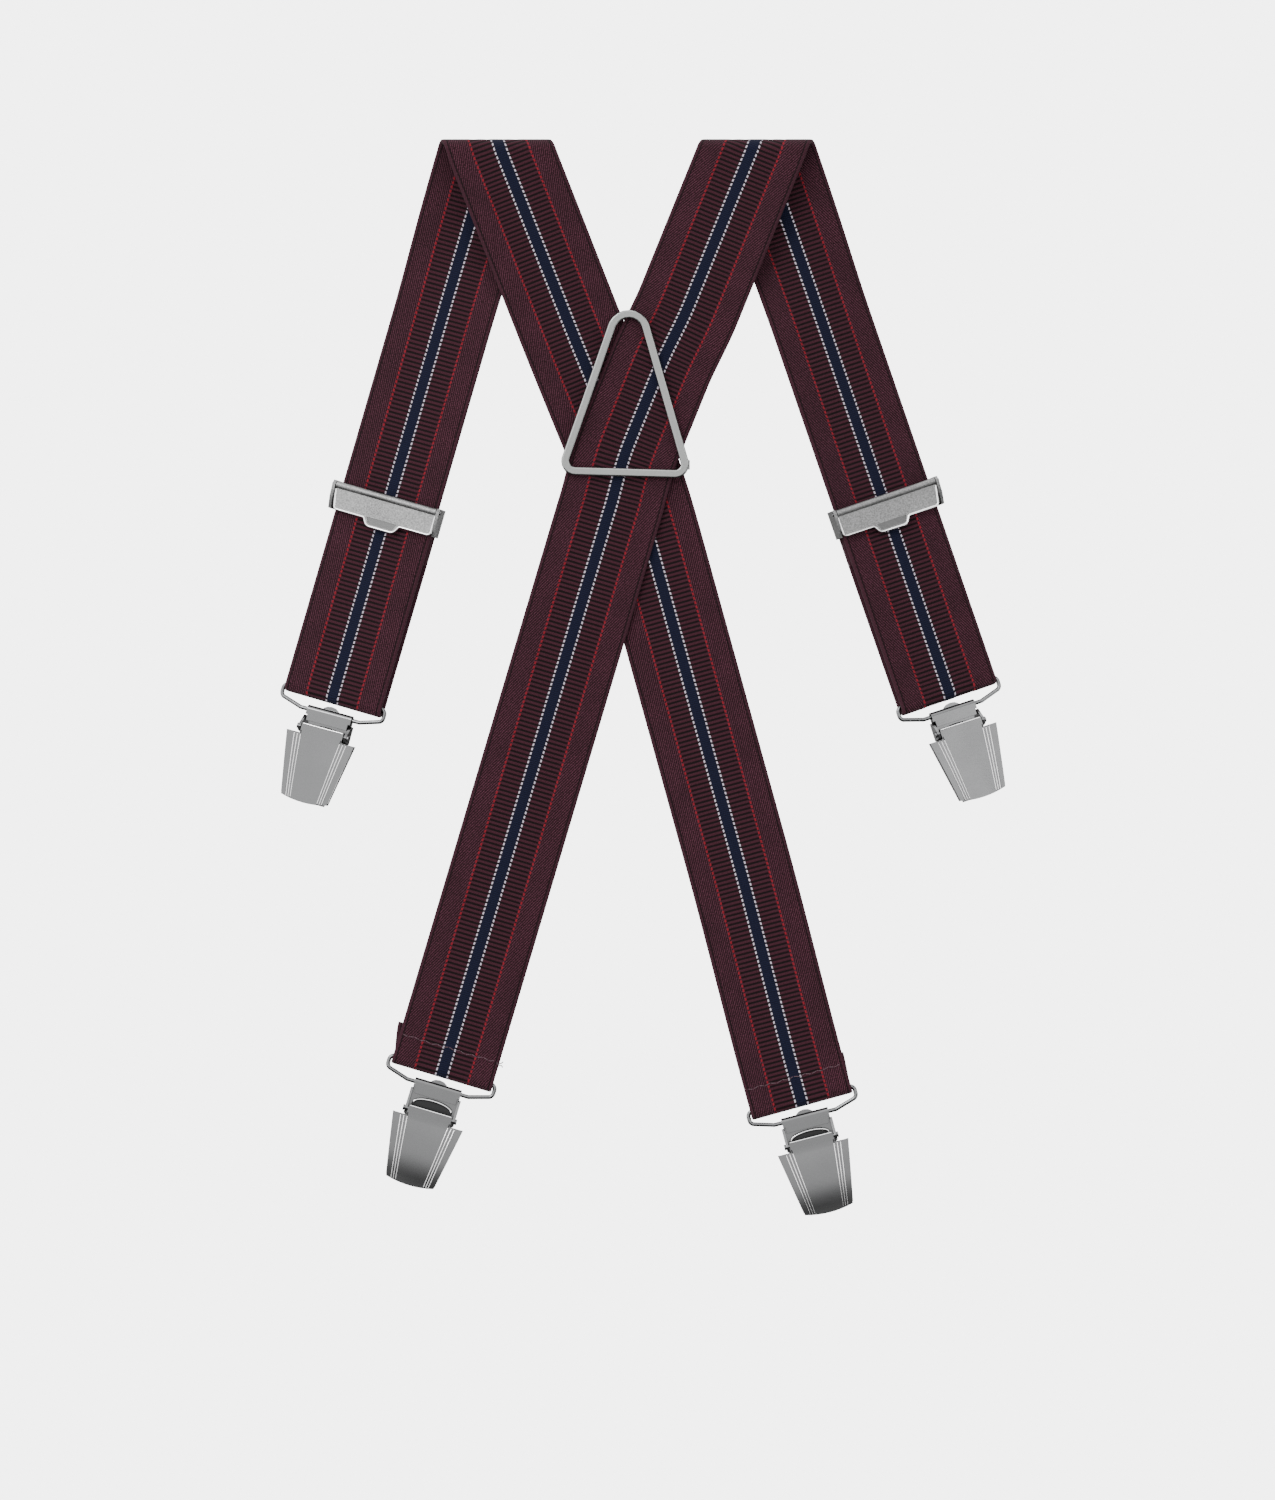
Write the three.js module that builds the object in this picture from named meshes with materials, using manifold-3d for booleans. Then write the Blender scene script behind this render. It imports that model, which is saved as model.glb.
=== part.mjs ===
// Clip-on X-back suspenders, hung over a thin horizontal bar. Millimetres, +Z up, the seen side faces -Y.
import * as THREE from "three";
import { mergeVertices } from "three/addons/utils/BufferGeometryUtils.js";
import Module from "manifold-3d";

const wasm = await Module();
wasm.setup();

const DEG = Math.PI / 180;
const GAP = 0.3; // clearance between neighbours

// webbing
const STRAP_WIDTH = 40;
const STRAP_THICK = 1.6;
const HALF = STRAP_WIDTH / 2;
const LAYER = STRAP_THICK + GAP; // pitch of two webbing layers that lie on each other
const BAR_RADIUS = 3; // hanger bar inside the shoulder folds
const FOLD_RADIUS = BAR_RADIUS + STRAP_THICK / 2;
const FOLD_STEPS = 12;
const FOLD_CENTRE_Z = -BAR_RADIUS; // the bar's top line is the origin
const EASE_LENGTH = 45; // over which rows turn from level to square with the webbing
const EASE_STEPS = 8;
const CROSS_Z = -128.8;
const CROSS_EASE = 18;
const SPREAD_TOP = -15; // the two layers part between these heights
const SPREAD_END = -60;
const TWIST = 15 * DEG; // the front runs turn outwards by this angle
const TWIST_END = -70;

// x falls or rises with depth: positive slopes run to +X going down
const SIDES = {
  left: {
    out: -1, foldX: -48.1, crossX: 1.2, backTop: 0.392, backLow: 0.276, front: -0.289,
    backEnd: -370.5, frontEnd: -215.6, adjusterZ: -140.7, layer: 1,
  },
  right: {
    out: 1, foldX: 48.3, crossX: -2.7, backTop: -0.405, backLow: -0.297, front: 0.343,
    backEnd: -359.3, frontEnd: -213.9, adjusterZ: -140.3, layer: -1,
  },
};

// triangular ring at the crossing
const RING_X = 0.4;
const RING_TOP = CROSS_Z + 3.215 * HALF; // just above where the straps part
const RING_BOTTOM = -128.5;
const RING_SPAN = 1.15 * HALF; // half the slanted webbing at the ring's foot
const RING_WIDTH = 2 * RING_SPAN + 3.1;
const RING_BAND = 3.15;
const RING_APEX_R = 8.5;
const RING_BASE_R = 5.5;
const RING_TILT = -1.6 * DEG;
const RING_FRONT_THICK = 2;
const RING_REAR_THICK = 1.2;
const RING_ARC_STEPS = 8;
const RING_POSTS = [ // x from, x to, z from, z to
  [-RING_SPAN - 1.4, -RING_SPAN - 0.1, -125.6, -122.8],
  [RING_SPAN - 0.1, RING_SPAN + 1.6, -125.6, -122],
  [-1.15, 0.25, RING_TOP - 2.6, RING_TOP - 0.7],
];

// wire bail and its place in the webbing's end loop
const WIRE_R = 0.8;
const WIRE_SIDES = 10;
const LOOP_IN = 1.5; // inner radius of the webbing's end loop
const LOOP_MID = LOOP_IN + STRAP_THICK / 2;
const LOOP_OUT = LOOP_IN + STRAP_THICK;
const LOOP_LEG = 5;
const BAIL_HALF = HALF + 1.1;
const BAIL_CORNER = 2;
const BAIL_SIDE = 1.2;
const BAIL_NECK_HALF = 9.7;
const BAIL_DROP = LOOP_OUT + 4.2;
const ARC_STEPS = 8;
const HEM_TAIL = 13;

// adjuster
const ADJ_IN = HALF + 0.4; // inner ear's inner face
const ADJ_OUT = HALF + 1.7; // outer ear's inner face
const EAR = 1.2;
const FRAME_PLATE = 1;
const FRAME_N = -(STRAP_THICK / 2 + GAP + STRAP_THICK + GAP + FRAME_PLATE / 2);
const FRAME_HALF_V = 5.5;
const FRAME_BAR = 3;
const TAIL_R = FRAME_PLATE / 2 + GAP + STRAP_THICK / 2;
const TAIL_LENGTH = 14;
const LEVER_PLATE = 1;
const LEVER_N = 1.9;
const ROLL_V = 3.9;
const ROLL_N = 2.7;
const ROLL_R = 1.35;
const ADJ_PIN_R = 0.65;
const FIT = 0.06; // running clearance on pins
const LEVER_LOW = -5.3;
const LEVER_SKEW = 1.3;
const LEVER_TAB_HALF = 7.4;
const LEVER_TAB = 3;
const TEETH = 19;

// clip
const PLATE = 1;
const ROLL_OUT = 1.7;
const ROLL_IN = 1.1;
const NECK_HALF = 9.25;
const NECK_WAIST = 8.4;
const NECK_LOW = -11.6;
const NECK_STEP = -9.3;
const TAB_HALF = 3.5;
const TAB_TOP = -4.2;
const TAB_RISE = 2.2;
const TAB_T = 1;
const CLIP_EAR = 9;
const CLIP_EAR_T = 1;
const EAR_TOP = -9.7;
const LID_TOP = -12.8;
const LID_N = 3.6;
const LID_T = 0.8;
const LID_HINGE_HALF = 8.6;
const LID_HINGE_V = 4;
const LID_SHOULDER = 14;
const LID_FOOT = 9.5;
const LID_LENGTH = 28.5;
const LID_ARC = 1.3;
const LID_FLANGE = 1.3;
const LID_FLANGE_T = 0.7;
const LUG = 0.8;
const LUG_R = 1.5;
const PIN_BELOW = 1.6; // pin below the lid's top edge
const PIN_N = 2.9;
const PIN_R = 0.7;
const PIN_HEAD = 1.1;
const PIN_HEAD_T = 0.7;
const GROOVES = [10.9, 9.6, 8.3]; // at the shoulder, half widths
const GROOVES_LOW = [7.3, 6.4, 5.5]; // the same grooves at the foot
const GROOVE_HALF = 0.28;
const GROOVE_DEEP = 0.3;
const JAW_T = 0.8;
const JAW_HALF = 8;
const JAW_FOOT = 6.6;
const JAW_ARCH = 2.8;
const JAW_RIM = 1;
const JAW_RIM_N = 1.5;
const BACK_HALF = 7.6;
const BACK_FOOT = 7;
const CLIPS = { // where each clip hangs: side, which end, in-plane turn, extra length below the neck
  front_left: { side: "left", front: true, turn: 1 * DEG, drop: 0 },
  front_right: { side: "right", front: true, turn: -1 * DEG, drop: 0 },
  back_left: { side: "right", front: false, turn: 0, drop: 3.4 },
  back_right: { side: "left", front: false, turn: -1 * DEG, drop: 2.2 },
};

const COLOURS = {
  webbing: [0x42, 0x23, 0x30, 0, 0.9],
  nickel: [0xa0, 0xa6, 0xa4, 0.9, 0.35],
  satin: [0xc6, 0xc8, 0xc6, 0.85, 0.5],
  chrome: [0x9a, 0x9c, 0x9e, 1, 0.2],
  steel: [0x8a, 0x8c, 0x8e, 0.9, 0.35],
};

const vec = (x, y, z) => new THREE.Vector3(x, y, z);

// ---------- solids ----------

function raw(positions, indices) {
  const geometry = new THREE.BufferGeometry();
  geometry.setAttribute("position", new THREE.Float32BufferAttribute(positions, 3));
  geometry.setIndex(indices);
  return geometry;
}

function merged(geometry) {
  const bare = geometry.clone();
  bare.deleteAttribute("normal");
  bare.deleteAttribute("uv");
  return mergeVertices(bare, 1e-4);
}

function toManifold(geometry) {
  const g = merged(geometry);
  return new wasm.Manifold(new wasm.Mesh({
    numProp: 3,
    vertProperties: new Float32Array(g.attributes.position.array),
    triVerts: new Uint32Array(g.index.array),
  }));
}

function fromManifold(solid) {
  const mesh = solid.getMesh();
  return raw(Array.from(mesh.vertProperties), Array.from(mesh.triVerts));
}

function combine(base, added, removed = []) {
  let solid = toManifold(base);
  for (const g of added) solid = solid.add(toManifold(g));
  for (const g of removed) solid = solid.subtract(toManifold(g));
  return fromManifold(solid);
}

// outline of [u, v] points, thick along n
function slab(points, n0, n1) {
  const shape = new THREE.Shape(points.map(([u, v]) => new THREE.Vector2(u, v)));
  const g = new THREE.ExtrudeGeometry(shape, { depth: n1 - n0, bevelEnabled: false });
  return g.translate(0, 0, n0);
}

// outline of [n, v] points, thick along u
function profile(points, u0, u1) {
  const shape = new THREE.Shape(points.map(([n, v]) => new THREE.Vector2(-n, v)));
  const g = new THREE.ExtrudeGeometry(shape, { depth: u1 - u0, bevelEnabled: false });
  return g.translate(0, 0, u0).rotateY(Math.PI / 2);
}

function rod(u0, u1, v, n, r, sides = 16) {
  const g = new THREE.CylinderGeometry(r, r, u1 - u0, sides);
  return g.rotateZ(Math.PI / 2).translate((u0 + u1) / 2, v, n);
}

function arc(cx, cy, r, from, to, steps) {
  return Array.from({ length: steps + 1 }, (_, i) => {
    const a = from + ((to - from) * i) / steps;
    return [cx + r * Math.cos(a), cy + r * Math.sin(a)];
  });
}

// webbing bent round: both legs rise to v = a (front) and b (back), the bend hangs at v = 0
function bentBand(rIn, a, b) {
  const rOut = rIn + STRAP_THICK;
  return [
    [rOut, a], ...arc(0, 0, rOut, 0, -Math.PI, ARC_STEPS), [-rOut, b],
    [-rIn, b], ...arc(0, 0, rIn, -Math.PI, 0, ARC_STEPS), [rIn, a],
  ];
}

// loft through rows of four corners
function loft(rows) {
  const positions = rows.flatMap(({ c, u, n, half }) => {
    const h = STRAP_THICK / 2;
    return [[-1, -1], [1, -1], [1, 1], [-1, 1]].flatMap(([i, j]) =>
      c.clone().addScaledVector(u, i * half).addScaledVector(n, j * h).toArray());
  });
  const indices = [];
  const quad = (a, b, c, d) => indices.push(a, b, c, a, c, d);
  for (let r = 0; r < rows.length - 1; r++)
    for (let k = 0; k < 4; k++) {
      const m = (k + 1) % 4;
      quad(4 * r + k, 4 * r + m, 4 * r + 4 + m, 4 * r + 4 + k);
    }
  const last = 4 * (rows.length - 1);
  quad(0, 3, 2, 1);
  quad(last, last + 1, last + 2, last + 3);
  const solid = raw(positions, indices);
  const volume = toManifold(solid).volume();
  if (volume > 0) return solid;
  for (let i = 0; i < indices.length; i += 3) [indices[i], indices[i + 1]] = [indices[i + 1], indices[i]];
  return raw(positions, indices);
}

// wire bent along a closed outline of [u, v] points
function wireLoop(points, radius) {
  const positions = [];
  const indices = [];
  const count = points.length;
  points.forEach(([u, v], i) => {
    const [pu, pv] = points[(i + count - 1) % count];
    const [nu, nv] = points[(i + 1) % count];
    const t = new THREE.Vector2(nu - pu, nv - pv).normalize();
    for (let k = 0; k < WIRE_SIDES; k++) {
      const a = (2 * Math.PI * k) / WIRE_SIDES;
      const side = radius * Math.cos(a);
      positions.push(u + t.y * side, v - t.x * side, radius * Math.sin(a));
    }
  });
  for (let i = 0; i < count; i++)
    for (let k = 0; k < WIRE_SIDES; k++) {
      const j = (i + 1) % count;
      const m = (k + 1) % WIRE_SIDES;
      const [a, b] = [i * WIRE_SIDES + k, i * WIRE_SIDES + m];
      const [c, d] = [j * WIRE_SIDES + m, j * WIRE_SIDES + k];
      indices.push(a, c, b, a, d, c);
    }
  const solid = raw(positions, indices);
  if (toManifold(solid).volume() > 0) return solid;
  for (let i = 0; i < indices.length; i += 3) [indices[i], indices[i + 1]] = [indices[i + 1], indices[i]];
  return raw(positions, indices);
}

// ---------- paths ----------

const smooth = (x) => {
  const t = Math.min(1, Math.max(0, x));
  return t * t * (3 - 2 * t);
};

// centre of the back run at height z, bending at the crossing
function backX(side, z) {
  const d = CROSS_Z - z;
  const { crossX, backTop, backLow } = side;
  if (d < -CROSS_EASE) return crossX + backTop * d;
  if (d > CROSS_EASE) return crossX + backLow * d;
  return crossX + backTop * d + ((backLow - backTop) * (d + CROSS_EASE) ** 2) / (4 * CROSS_EASE);
}

function backSlope(side, z) {
  const t = Math.min(1, Math.max(0, (CROSS_Z - z + CROSS_EASE) / (2 * CROSS_EASE)));
  return side.backTop + (side.backLow - side.backTop) * t;
}

function backY(side, z) {
  const spread = smooth((SPREAD_TOP - z) / (SPREAD_TOP - SPREAD_END));
  return -FOLD_RADIUS + (side.layer * spread * LAYER) / 2;
}

const foldSlope = (side) => (side.backTop - side.front) / 2;
const frontX0 = (side) => side.foldX - foldSlope(side) * Math.PI * FOLD_RADIUS;

// a row across the webbing; ease 0 is level, 1 is square with the run
function row(centre, tilt, ease, face) {
  const t = ease * tilt;
  return {
    c: centre, u: vec(Math.cos(t), 0, -Math.sin(t)), n: vec(0, face, 0),
    half: HALF / Math.cos(tilt - t),
  };
}

function backRow(side, z) {
  const tilt = -Math.atan(backSlope(side, z));
  const ease = Math.min(1, (FOLD_CENTRE_Z - z) / EASE_LENGTH);
  return row(vec(backX(side, z), backY(side, z), z), tilt, ease, -1);
}

function foldRow(side, phi) {
  const slope = foldSlope(side);
  const x = side.foldX - slope * FOLD_RADIUS * phi;
  const c = vec(x, -FOLD_RADIUS * Math.cos(phi), FOLD_CENTRE_Z + FOLD_RADIUS * Math.sin(phi));
  const half = HALF * Math.hypot(1, slope);
  return { c, u: vec(1, 0, 0), n: vec(0, -Math.cos(phi), Math.sin(phi)), half };
}

function frontRow(side, z) {
  const tilt = -Math.atan(side.front);
  const depth = FOLD_CENTRE_Z - z;
  const made = row(
    vec(frontX0(side) + side.front * depth, FOLD_RADIUS, z), tilt, Math.min(1, depth / EASE_LENGTH), 1,
  );
  const run = vec(Math.sin(tilt), 0, Math.cos(tilt));
  const angle = side.out * TWIST * smooth(depth / (FOLD_CENTRE_Z - TWIST_END));
  made.u.applyAxisAngle(run, angle);
  made.n.applyAxisAngle(run, angle);
  return made;
}

// local frame [u across, v up along the webbing, n towards the viewer] at a height of a run
function runFrame(side, front, z, turn = 0) {
  const made = front ? frontRow(side, z) : backRow(side, z);
  const n = made.n.clone().multiplyScalar(front ? -1 : 1);
  const u = made.u.clone().applyAxisAngle(n, turn);
  return new THREE.Matrix4().makeBasis(u, n.clone().cross(u), n).setPosition(made.c);
}

const shifted = (frame, u, v, n) => frame.clone().multiply(new THREE.Matrix4().makeTranslation(u, v, n));

const cosOf = (slope) => 1 / Math.hypot(1, slope);

// frame at the wire in an end loop; the wire is behind the webbing's mid plane
function loopFrame(side, front, turn = 0) {
  const end = front ? side.frontEnd : side.backEnd;
  const slope = front ? side.front : side.backLow;
  const wireZ = end + LOOP_OUT * cosOf(slope);
  return shifted(runFrame(side, front, wireZ), 0, 0, -LOOP_MID)
    .multiply(new THREE.Matrix4().makeRotationZ(turn));
}

// ---------- webbing ----------

const spaced = (from, to, steps) =>
  Array.from({ length: steps + 1 }, (_, i) => from + ((to - from) * i) / steps);

function mainStrap(side) {
  const wireZ = side.backEnd + LOOP_OUT * cosOf(side.backLow);
  const foot = wireZ + (LOOP_LEG + GAP) * cosOf(side.backLow);
  const stop = side.adjusterZ + (ROLL_V - GAP) * cosOf(side.front);
  const heights = [
    foot, CROSS_Z - CROSS_EASE, ...spaced(CROSS_Z - CROSS_EASE, CROSS_Z + CROSS_EASE, 6).slice(1),
    SPREAD_END, ...spaced(SPREAD_END, SPREAD_TOP, 6).slice(1),
  ];
  const near = spaced(SPREAD_TOP, FOLD_CENTRE_Z, 3).slice(1);
  const folds = spaced(0, Math.PI, FOLD_STEPS).slice(1, -1);
  const front = spaced(FOLD_CENTRE_Z, TWIST_END, EASE_STEPS * 2);
  return loft([
    ...[...heights, ...near].map((z) => backRow(side, z)),
    ...folds.map((phi) => foldRow(side, phi)),
    ...[...front, stop].map((z) => frontRow(side, z)),
  ]);
}

function lowerStrap(side) {
  const c = cosOf(side.front);
  const top = side.adjusterZ + (ROLL_V - 2 * GAP) * c;
  const wireZ = side.frontEnd + LOOP_OUT * c;
  return loft([top, wireZ + (LOOP_LEG + GAP) * c].map((z) => frontRow(side, z)));
}

function endLoop(side, front) {
  const back = front ? LOOP_LEG : HEM_TAIL;
  return profile(bentBand(LOOP_IN, LOOP_LEG, back), -HALF, HALF).applyMatrix4(loopFrame(side, front));
}

// the sewn tail: up behind the frame's lower bar, over it and down in front
function tailLoop(side) {
  const points = bentBand(TAIL_R - STRAP_THICK / 2, TAIL_LENGTH, TAIL_LENGTH + 1)
    .map(([n, v]) => [n, -v]);
  const frame = shifted(runFrame(side, true, side.adjusterZ), 0, FRAME_BAR - FRAME_HALF_V - GAP, FRAME_N);
  return profile(points, -HALF, HALF).applyMatrix4(frame);
}

// from the end loop up to the tail, behind the main layer
function returnStrap(side) {
  const c = cosOf(side.front);
  const span = (side.adjusterZ - side.frontEnd) / c;
  const top = FRAME_BAR - FRAME_HALF_V - GAP - TAIL_LENGTH - 1 - GAP;
  const low = LOOP_OUT + LOOP_LEG + GAP - span;
  const [nTop, nLow] = [FRAME_N - TAIL_R, -2 * LOOP_MID];
  const h = STRAP_THICK / 2;
  const points = [[nTop + h, top], [nTop - h, top], [nLow - h, low], [nLow + h, low]];
  return profile(points, -HALF, HALF).applyMatrix4(runFrame(side, true, side.adjusterZ));
}

// ---------- ring ----------

// hull of the three corner circles, grown or shrunk by the band
function ringOutline(inset) {
  const corners = [
    [0, RING_TOP - RING_APEX_R, RING_APEX_R - inset],
    [-(RING_WIDTH / 2 - RING_BASE_R), RING_BOTTOM + RING_BASE_R, RING_BASE_R - inset],
    [RING_WIDTH / 2 - RING_BASE_R, RING_BOTTOM + RING_BASE_R, RING_BASE_R - inset],
  ];
  const [apex, left] = corners;
  const run = Math.hypot(apex[0] - left[0], apex[1] - left[1]);
  const lean = Math.atan2(apex[1] - left[1], apex[0] - left[0]);
  const swing = Math.asin((apex[2] - left[2]) / run);
  const normal = lean + Math.PI / 2 + swing - 2 * swing;
  return [
    ...arc(...corners[0], Math.PI - normal, normal, RING_ARC_STEPS),
    ...arc(...corners[1], normal, 1.5 * Math.PI, RING_ARC_STEPS),
    ...arc(...corners[2], -0.5 * Math.PI, Math.PI - normal, RING_ARC_STEPS),
  ];
}

function ringFrame(y0, y1) {
  const shape = new THREE.Shape(ringOutline(0).map(([x, z]) => new THREE.Vector2(x, z)));
  shape.holes.push(new THREE.Path(ringOutline(RING_BAND).map(([x, z]) => new THREE.Vector2(x, z))));
  const g = new THREE.ExtrudeGeometry(shape, { depth: y1 - y0, bevelEnabled: false });
  return g.rotateX(Math.PI / 2).translate(0, y1, 0);
}

function ringPlace(geometry) {
  const mid = (RING_TOP + RING_BOTTOM) / 2;
  return geometry.translate(0, 0, -mid).rotateY(-RING_TILT).translate(RING_X, 0, mid);
}

function ringNodes() {
  const outer = -FOLD_RADIUS - LAYER / 2 - STRAP_THICK / 2 - GAP;
  const inner = -FOLD_RADIUS + LAYER / 2 + STRAP_THICK / 2 + GAP;
  const posts = RING_POSTS.map(([x0, x1, z0, z1]) => {
    const size = [x1 - x0, inner - outer + RING_REAR_THICK / 2 - GAP, z1 - z0];
    return new THREE.BoxGeometry(...size)
      .translate((x0 + x1) / 2, inner + RING_REAR_THICK / 2 - size[1] / 2, (z0 + z1) / 2);
  });
  return {
    ring_front: ringPlace(ringFrame(outer - RING_FRONT_THICK, outer)),
    ring_rear: combine(ringPlace(ringFrame(inner, inner + RING_REAR_THICK)), posts),
  };
}

// ---------- adjuster ----------

function earOutline() {
  const low = FRAME_N - FRAME_PLATE / 2;
  const high = ROLL_N + ROLL_R;
  return [
    [low, -FRAME_HALF_V], [high - 3, -FRAME_HALF_V], [high - 0.6, -1], [high, ROLL_V - 0.8],
    [high, ROLL_V + 0.4], [high - 0.9, FRAME_HALF_V], [low, FRAME_HALF_V],
  ];
}

// s is -1 where the strap's outer edge is towards -u
function adjusterFrame(s) {
  const spans = [[s * ADJ_OUT, s * (ADJ_OUT + EAR)], [-s * (ADJ_IN + EAR), -s * ADJ_IN]]
    .map((span) => span.sort((a, b) => a - b));
  const ears = spans.map(([a, b]) => profile(earOutline(), a, b));
  const [low, high] = [Math.min(...spans.flat()), Math.max(...spans.flat())];
  const [n0, n1] = [FRAME_N - FRAME_PLATE / 2, FRAME_N + FRAME_PLATE / 2];
  const bar = (v0, v1) => slab([[low, v0], [high, v0], [high, v1], [low, v1]], n0, n1);
  const holes = [rod(low - 1, high + 1, ROLL_V, ROLL_N, ADJ_PIN_R + FIT)];
  return combine(
    bar(-FRAME_HALF_V, -FRAME_HALF_V + FRAME_BAR),
    [bar(FRAME_HALF_V - FRAME_BAR + 1, FRAME_HALF_V), ...ears], holes,
  );
}

function adjusterLever(s) {
  const [a, b] = [s * (ADJ_OUT - GAP), -s * (ADJ_IN - GAP)];
  const plate = slab([
    [a, ROLL_V], [a - s * LEVER_SKEW, LEVER_LOW + 1], [a - s * (LEVER_SKEW + 1), LEVER_LOW],
    [s * LEVER_TAB_HALF, LEVER_LOW], [s * (LEVER_TAB_HALF - 2), LEVER_LOW - LEVER_TAB],
    [-s * (LEVER_TAB_HALF - 2), LEVER_LOW - LEVER_TAB], [-s * LEVER_TAB_HALF, LEVER_LOW],
    [b + s, LEVER_LOW], [b, LEVER_LOW + 1], [b, ROLL_V],
  ], LEVER_N, LEVER_N + LEVER_PLATE);
  const dish = slab([
    [s * (LEVER_TAB_HALF - 1.2), LEVER_LOW + 0.4], [s * (LEVER_TAB_HALF - 2.4), LEVER_LOW - LEVER_TAB + 0.7],
    [-s * (LEVER_TAB_HALF - 2.4), LEVER_LOW - LEVER_TAB + 0.7], [-s * (LEVER_TAB_HALF - 1.2), LEVER_LOW + 0.4],
  ], LEVER_N + LEVER_PLATE - 0.35, LEVER_N + LEVER_PLATE + 1);
  const [low, high] = [Math.min(a, b), Math.max(a, b)];
  const pitch = (2 * HALF - 2) / TEETH;
  const teeth = spaced(1 - HALF, HALF - 1 - pitch, TEETH - 1).map((u) => {
    const foot = LEVER_N + 0.1;
    const tip = STRAP_THICK / 2 + GAP;
    return slab([[u, foot], [u + pitch * 0.8, foot], [u + pitch * 0.4, tip]], -1, 0)
      .rotateX(Math.PI / 2).translate(0, ROLL_V - 2.6, 0);
  });
  return combine(
    plate, [rod(low, high, ROLL_V, ROLL_N, ROLL_R), ...teeth],
    [dish, rod(low - 1, high + 1, ROLL_V, ROLL_N, ADJ_PIN_R + FIT)],
  );
}

function adjusterPin(s) {
  const ends = [s * (ADJ_OUT + EAR + 0.4), -s * (ADJ_IN + EAR + 0.4)].sort((a, b) => a - b);
  return rod(...ends, ROLL_V, ROLL_N, ADJ_PIN_R);
}

function adjusterNodes(name, side) {
  const frame = runFrame(side, true, side.adjusterZ);
  return {
    [`adjuster_${name}_frame`]: adjusterFrame(side.out).applyMatrix4(frame),
    [`adjuster_${name}_lever`]: adjusterLever(side.out).applyMatrix4(frame),
    [`adjuster_${name}_pin`]: adjusterPin(side.out).applyMatrix4(frame),
  };
}

// ---------- clip ----------

function bail() {
  const c = BAIL_CORNER;
  const right = [
    ...arc(BAIL_HALF - c, -c, c, Math.PI / 2, 0, 4),
    ...arc(BAIL_HALF - c, -c - BAIL_SIDE, c, 0, -0.35 * Math.PI, 4),
    [BAIL_NECK_HALF + 0.6, 0.35 - BAIL_DROP], [BAIL_NECK_HALF - 0.4, -BAIL_DROP],
  ];
  return wireLoop([...right, ...right.map(([u, v]) => [-u, v]).reverse()], WIRE_R);
}

function clipBody(drop) {
  const foot = LID_TOP - drop - LID_HINGE_V - LID_LENGTH + 4;
  const earLow = LID_TOP - drop - PIN_BELOW - 2.2;
  const ear = CLIP_EAR + CLIP_EAR_T;
  const back = slab([
    [-NECK_HALF, -BAIL_DROP], [-NECK_HALF, EAR_TOP], [-ear, EAR_TOP], [-ear, earLow],
    [-BACK_HALF, earLow - 1.6], [-BACK_FOOT, foot], [BACK_FOOT, foot],
    [BACK_HALF, earLow - 1.6], [ear, earLow], [ear, EAR_TOP], [NECK_HALF, EAR_TOP],
    [NECK_HALF, -BAIL_DROP],
  ], -ROLL_OUT, PLATE - ROLL_OUT);
  const neck = slab([
    [-NECK_HALF, -BAIL_DROP], [-NECK_HALF, NECK_STEP], [-NECK_WAIST, NECK_STEP],
    [-NECK_WAIST, NECK_LOW], [NECK_WAIST, NECK_LOW], [NECK_WAIST, NECK_STEP],
    [NECK_HALF, NECK_STEP], [NECK_HALF, -BAIL_DROP],
  ], ROLL_OUT - PLATE, ROLL_OUT);
  const tab = slab([
    [-TAB_HALF, -BAIL_DROP], ...arc(0, TAB_TOP - TAB_RISE, TAB_RISE, Math.PI, 0, 6)
      .map(([u, v]) => [(u * TAB_HALF) / TAB_RISE, v]), [TAB_HALF, -BAIL_DROP],
  ], -TAB_T / 2, TAB_T / 2);
  const ears = [-ear, CLIP_EAR].map((u) => profile([
    [-ROLL_OUT, EAR_TOP], [0.6, EAR_TOP], [PIN_N + 0.9, LID_TOP - drop - PIN_BELOW + 1.5],
    [PIN_N + 1.5, LID_TOP - drop - PIN_BELOW], [PIN_N + 0.9, earLow + 0.6], [0.6, earLow],
    [-ROLL_OUT, earLow],
  ], u, u + CLIP_EAR_T));
  const lip = slab([[-BACK_FOOT, foot - 1], [BACK_FOOT, foot - 1], [BACK_FOOT, foot], [-BACK_FOOT, foot]],
    -ROLL_OUT, 0.4);
  return combine(
    back, [neck, tab, rod(-NECK_HALF, NECK_HALF, -BAIL_DROP, 0, ROLL_OUT, 20), lip, ...ears],
    [
      rod(-NECK_HALF - 1, NECK_HALF + 1, -BAIL_DROP, 0, ROLL_IN),
      rod(-ear - 1, ear + 1, LID_TOP - drop - PIN_BELOW, PIN_N, PIN_R + FIT),
    ],
  );
}

function grooveCut(wide, narrow, v0, v1, sign) {
  const top = LID_N + LID_T;
  const at = (u, v) => [[u - GROOVE_HALF, top + 0.1], [u + GROOVE_HALF, top + 0.1], [u, top - GROOVE_DEEP]]
    .map(([x, n]) => [sign * x, v, n]);
  const points = [...at(wide, v0), ...at(narrow, v1)].flat();
  const faces = [0, 1, 2, 3, 5, 4, 0, 3, 4, 0, 4, 1, 1, 4, 5, 1, 5, 2, 2, 5, 3, 2, 3, 0];
  if (sign > 0) return raw(points, faces);
  const turned = faces.map((_, i) => faces[i - (i % 3) + (2 - (i % 3))]);
  return raw(points, turned);
}

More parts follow.
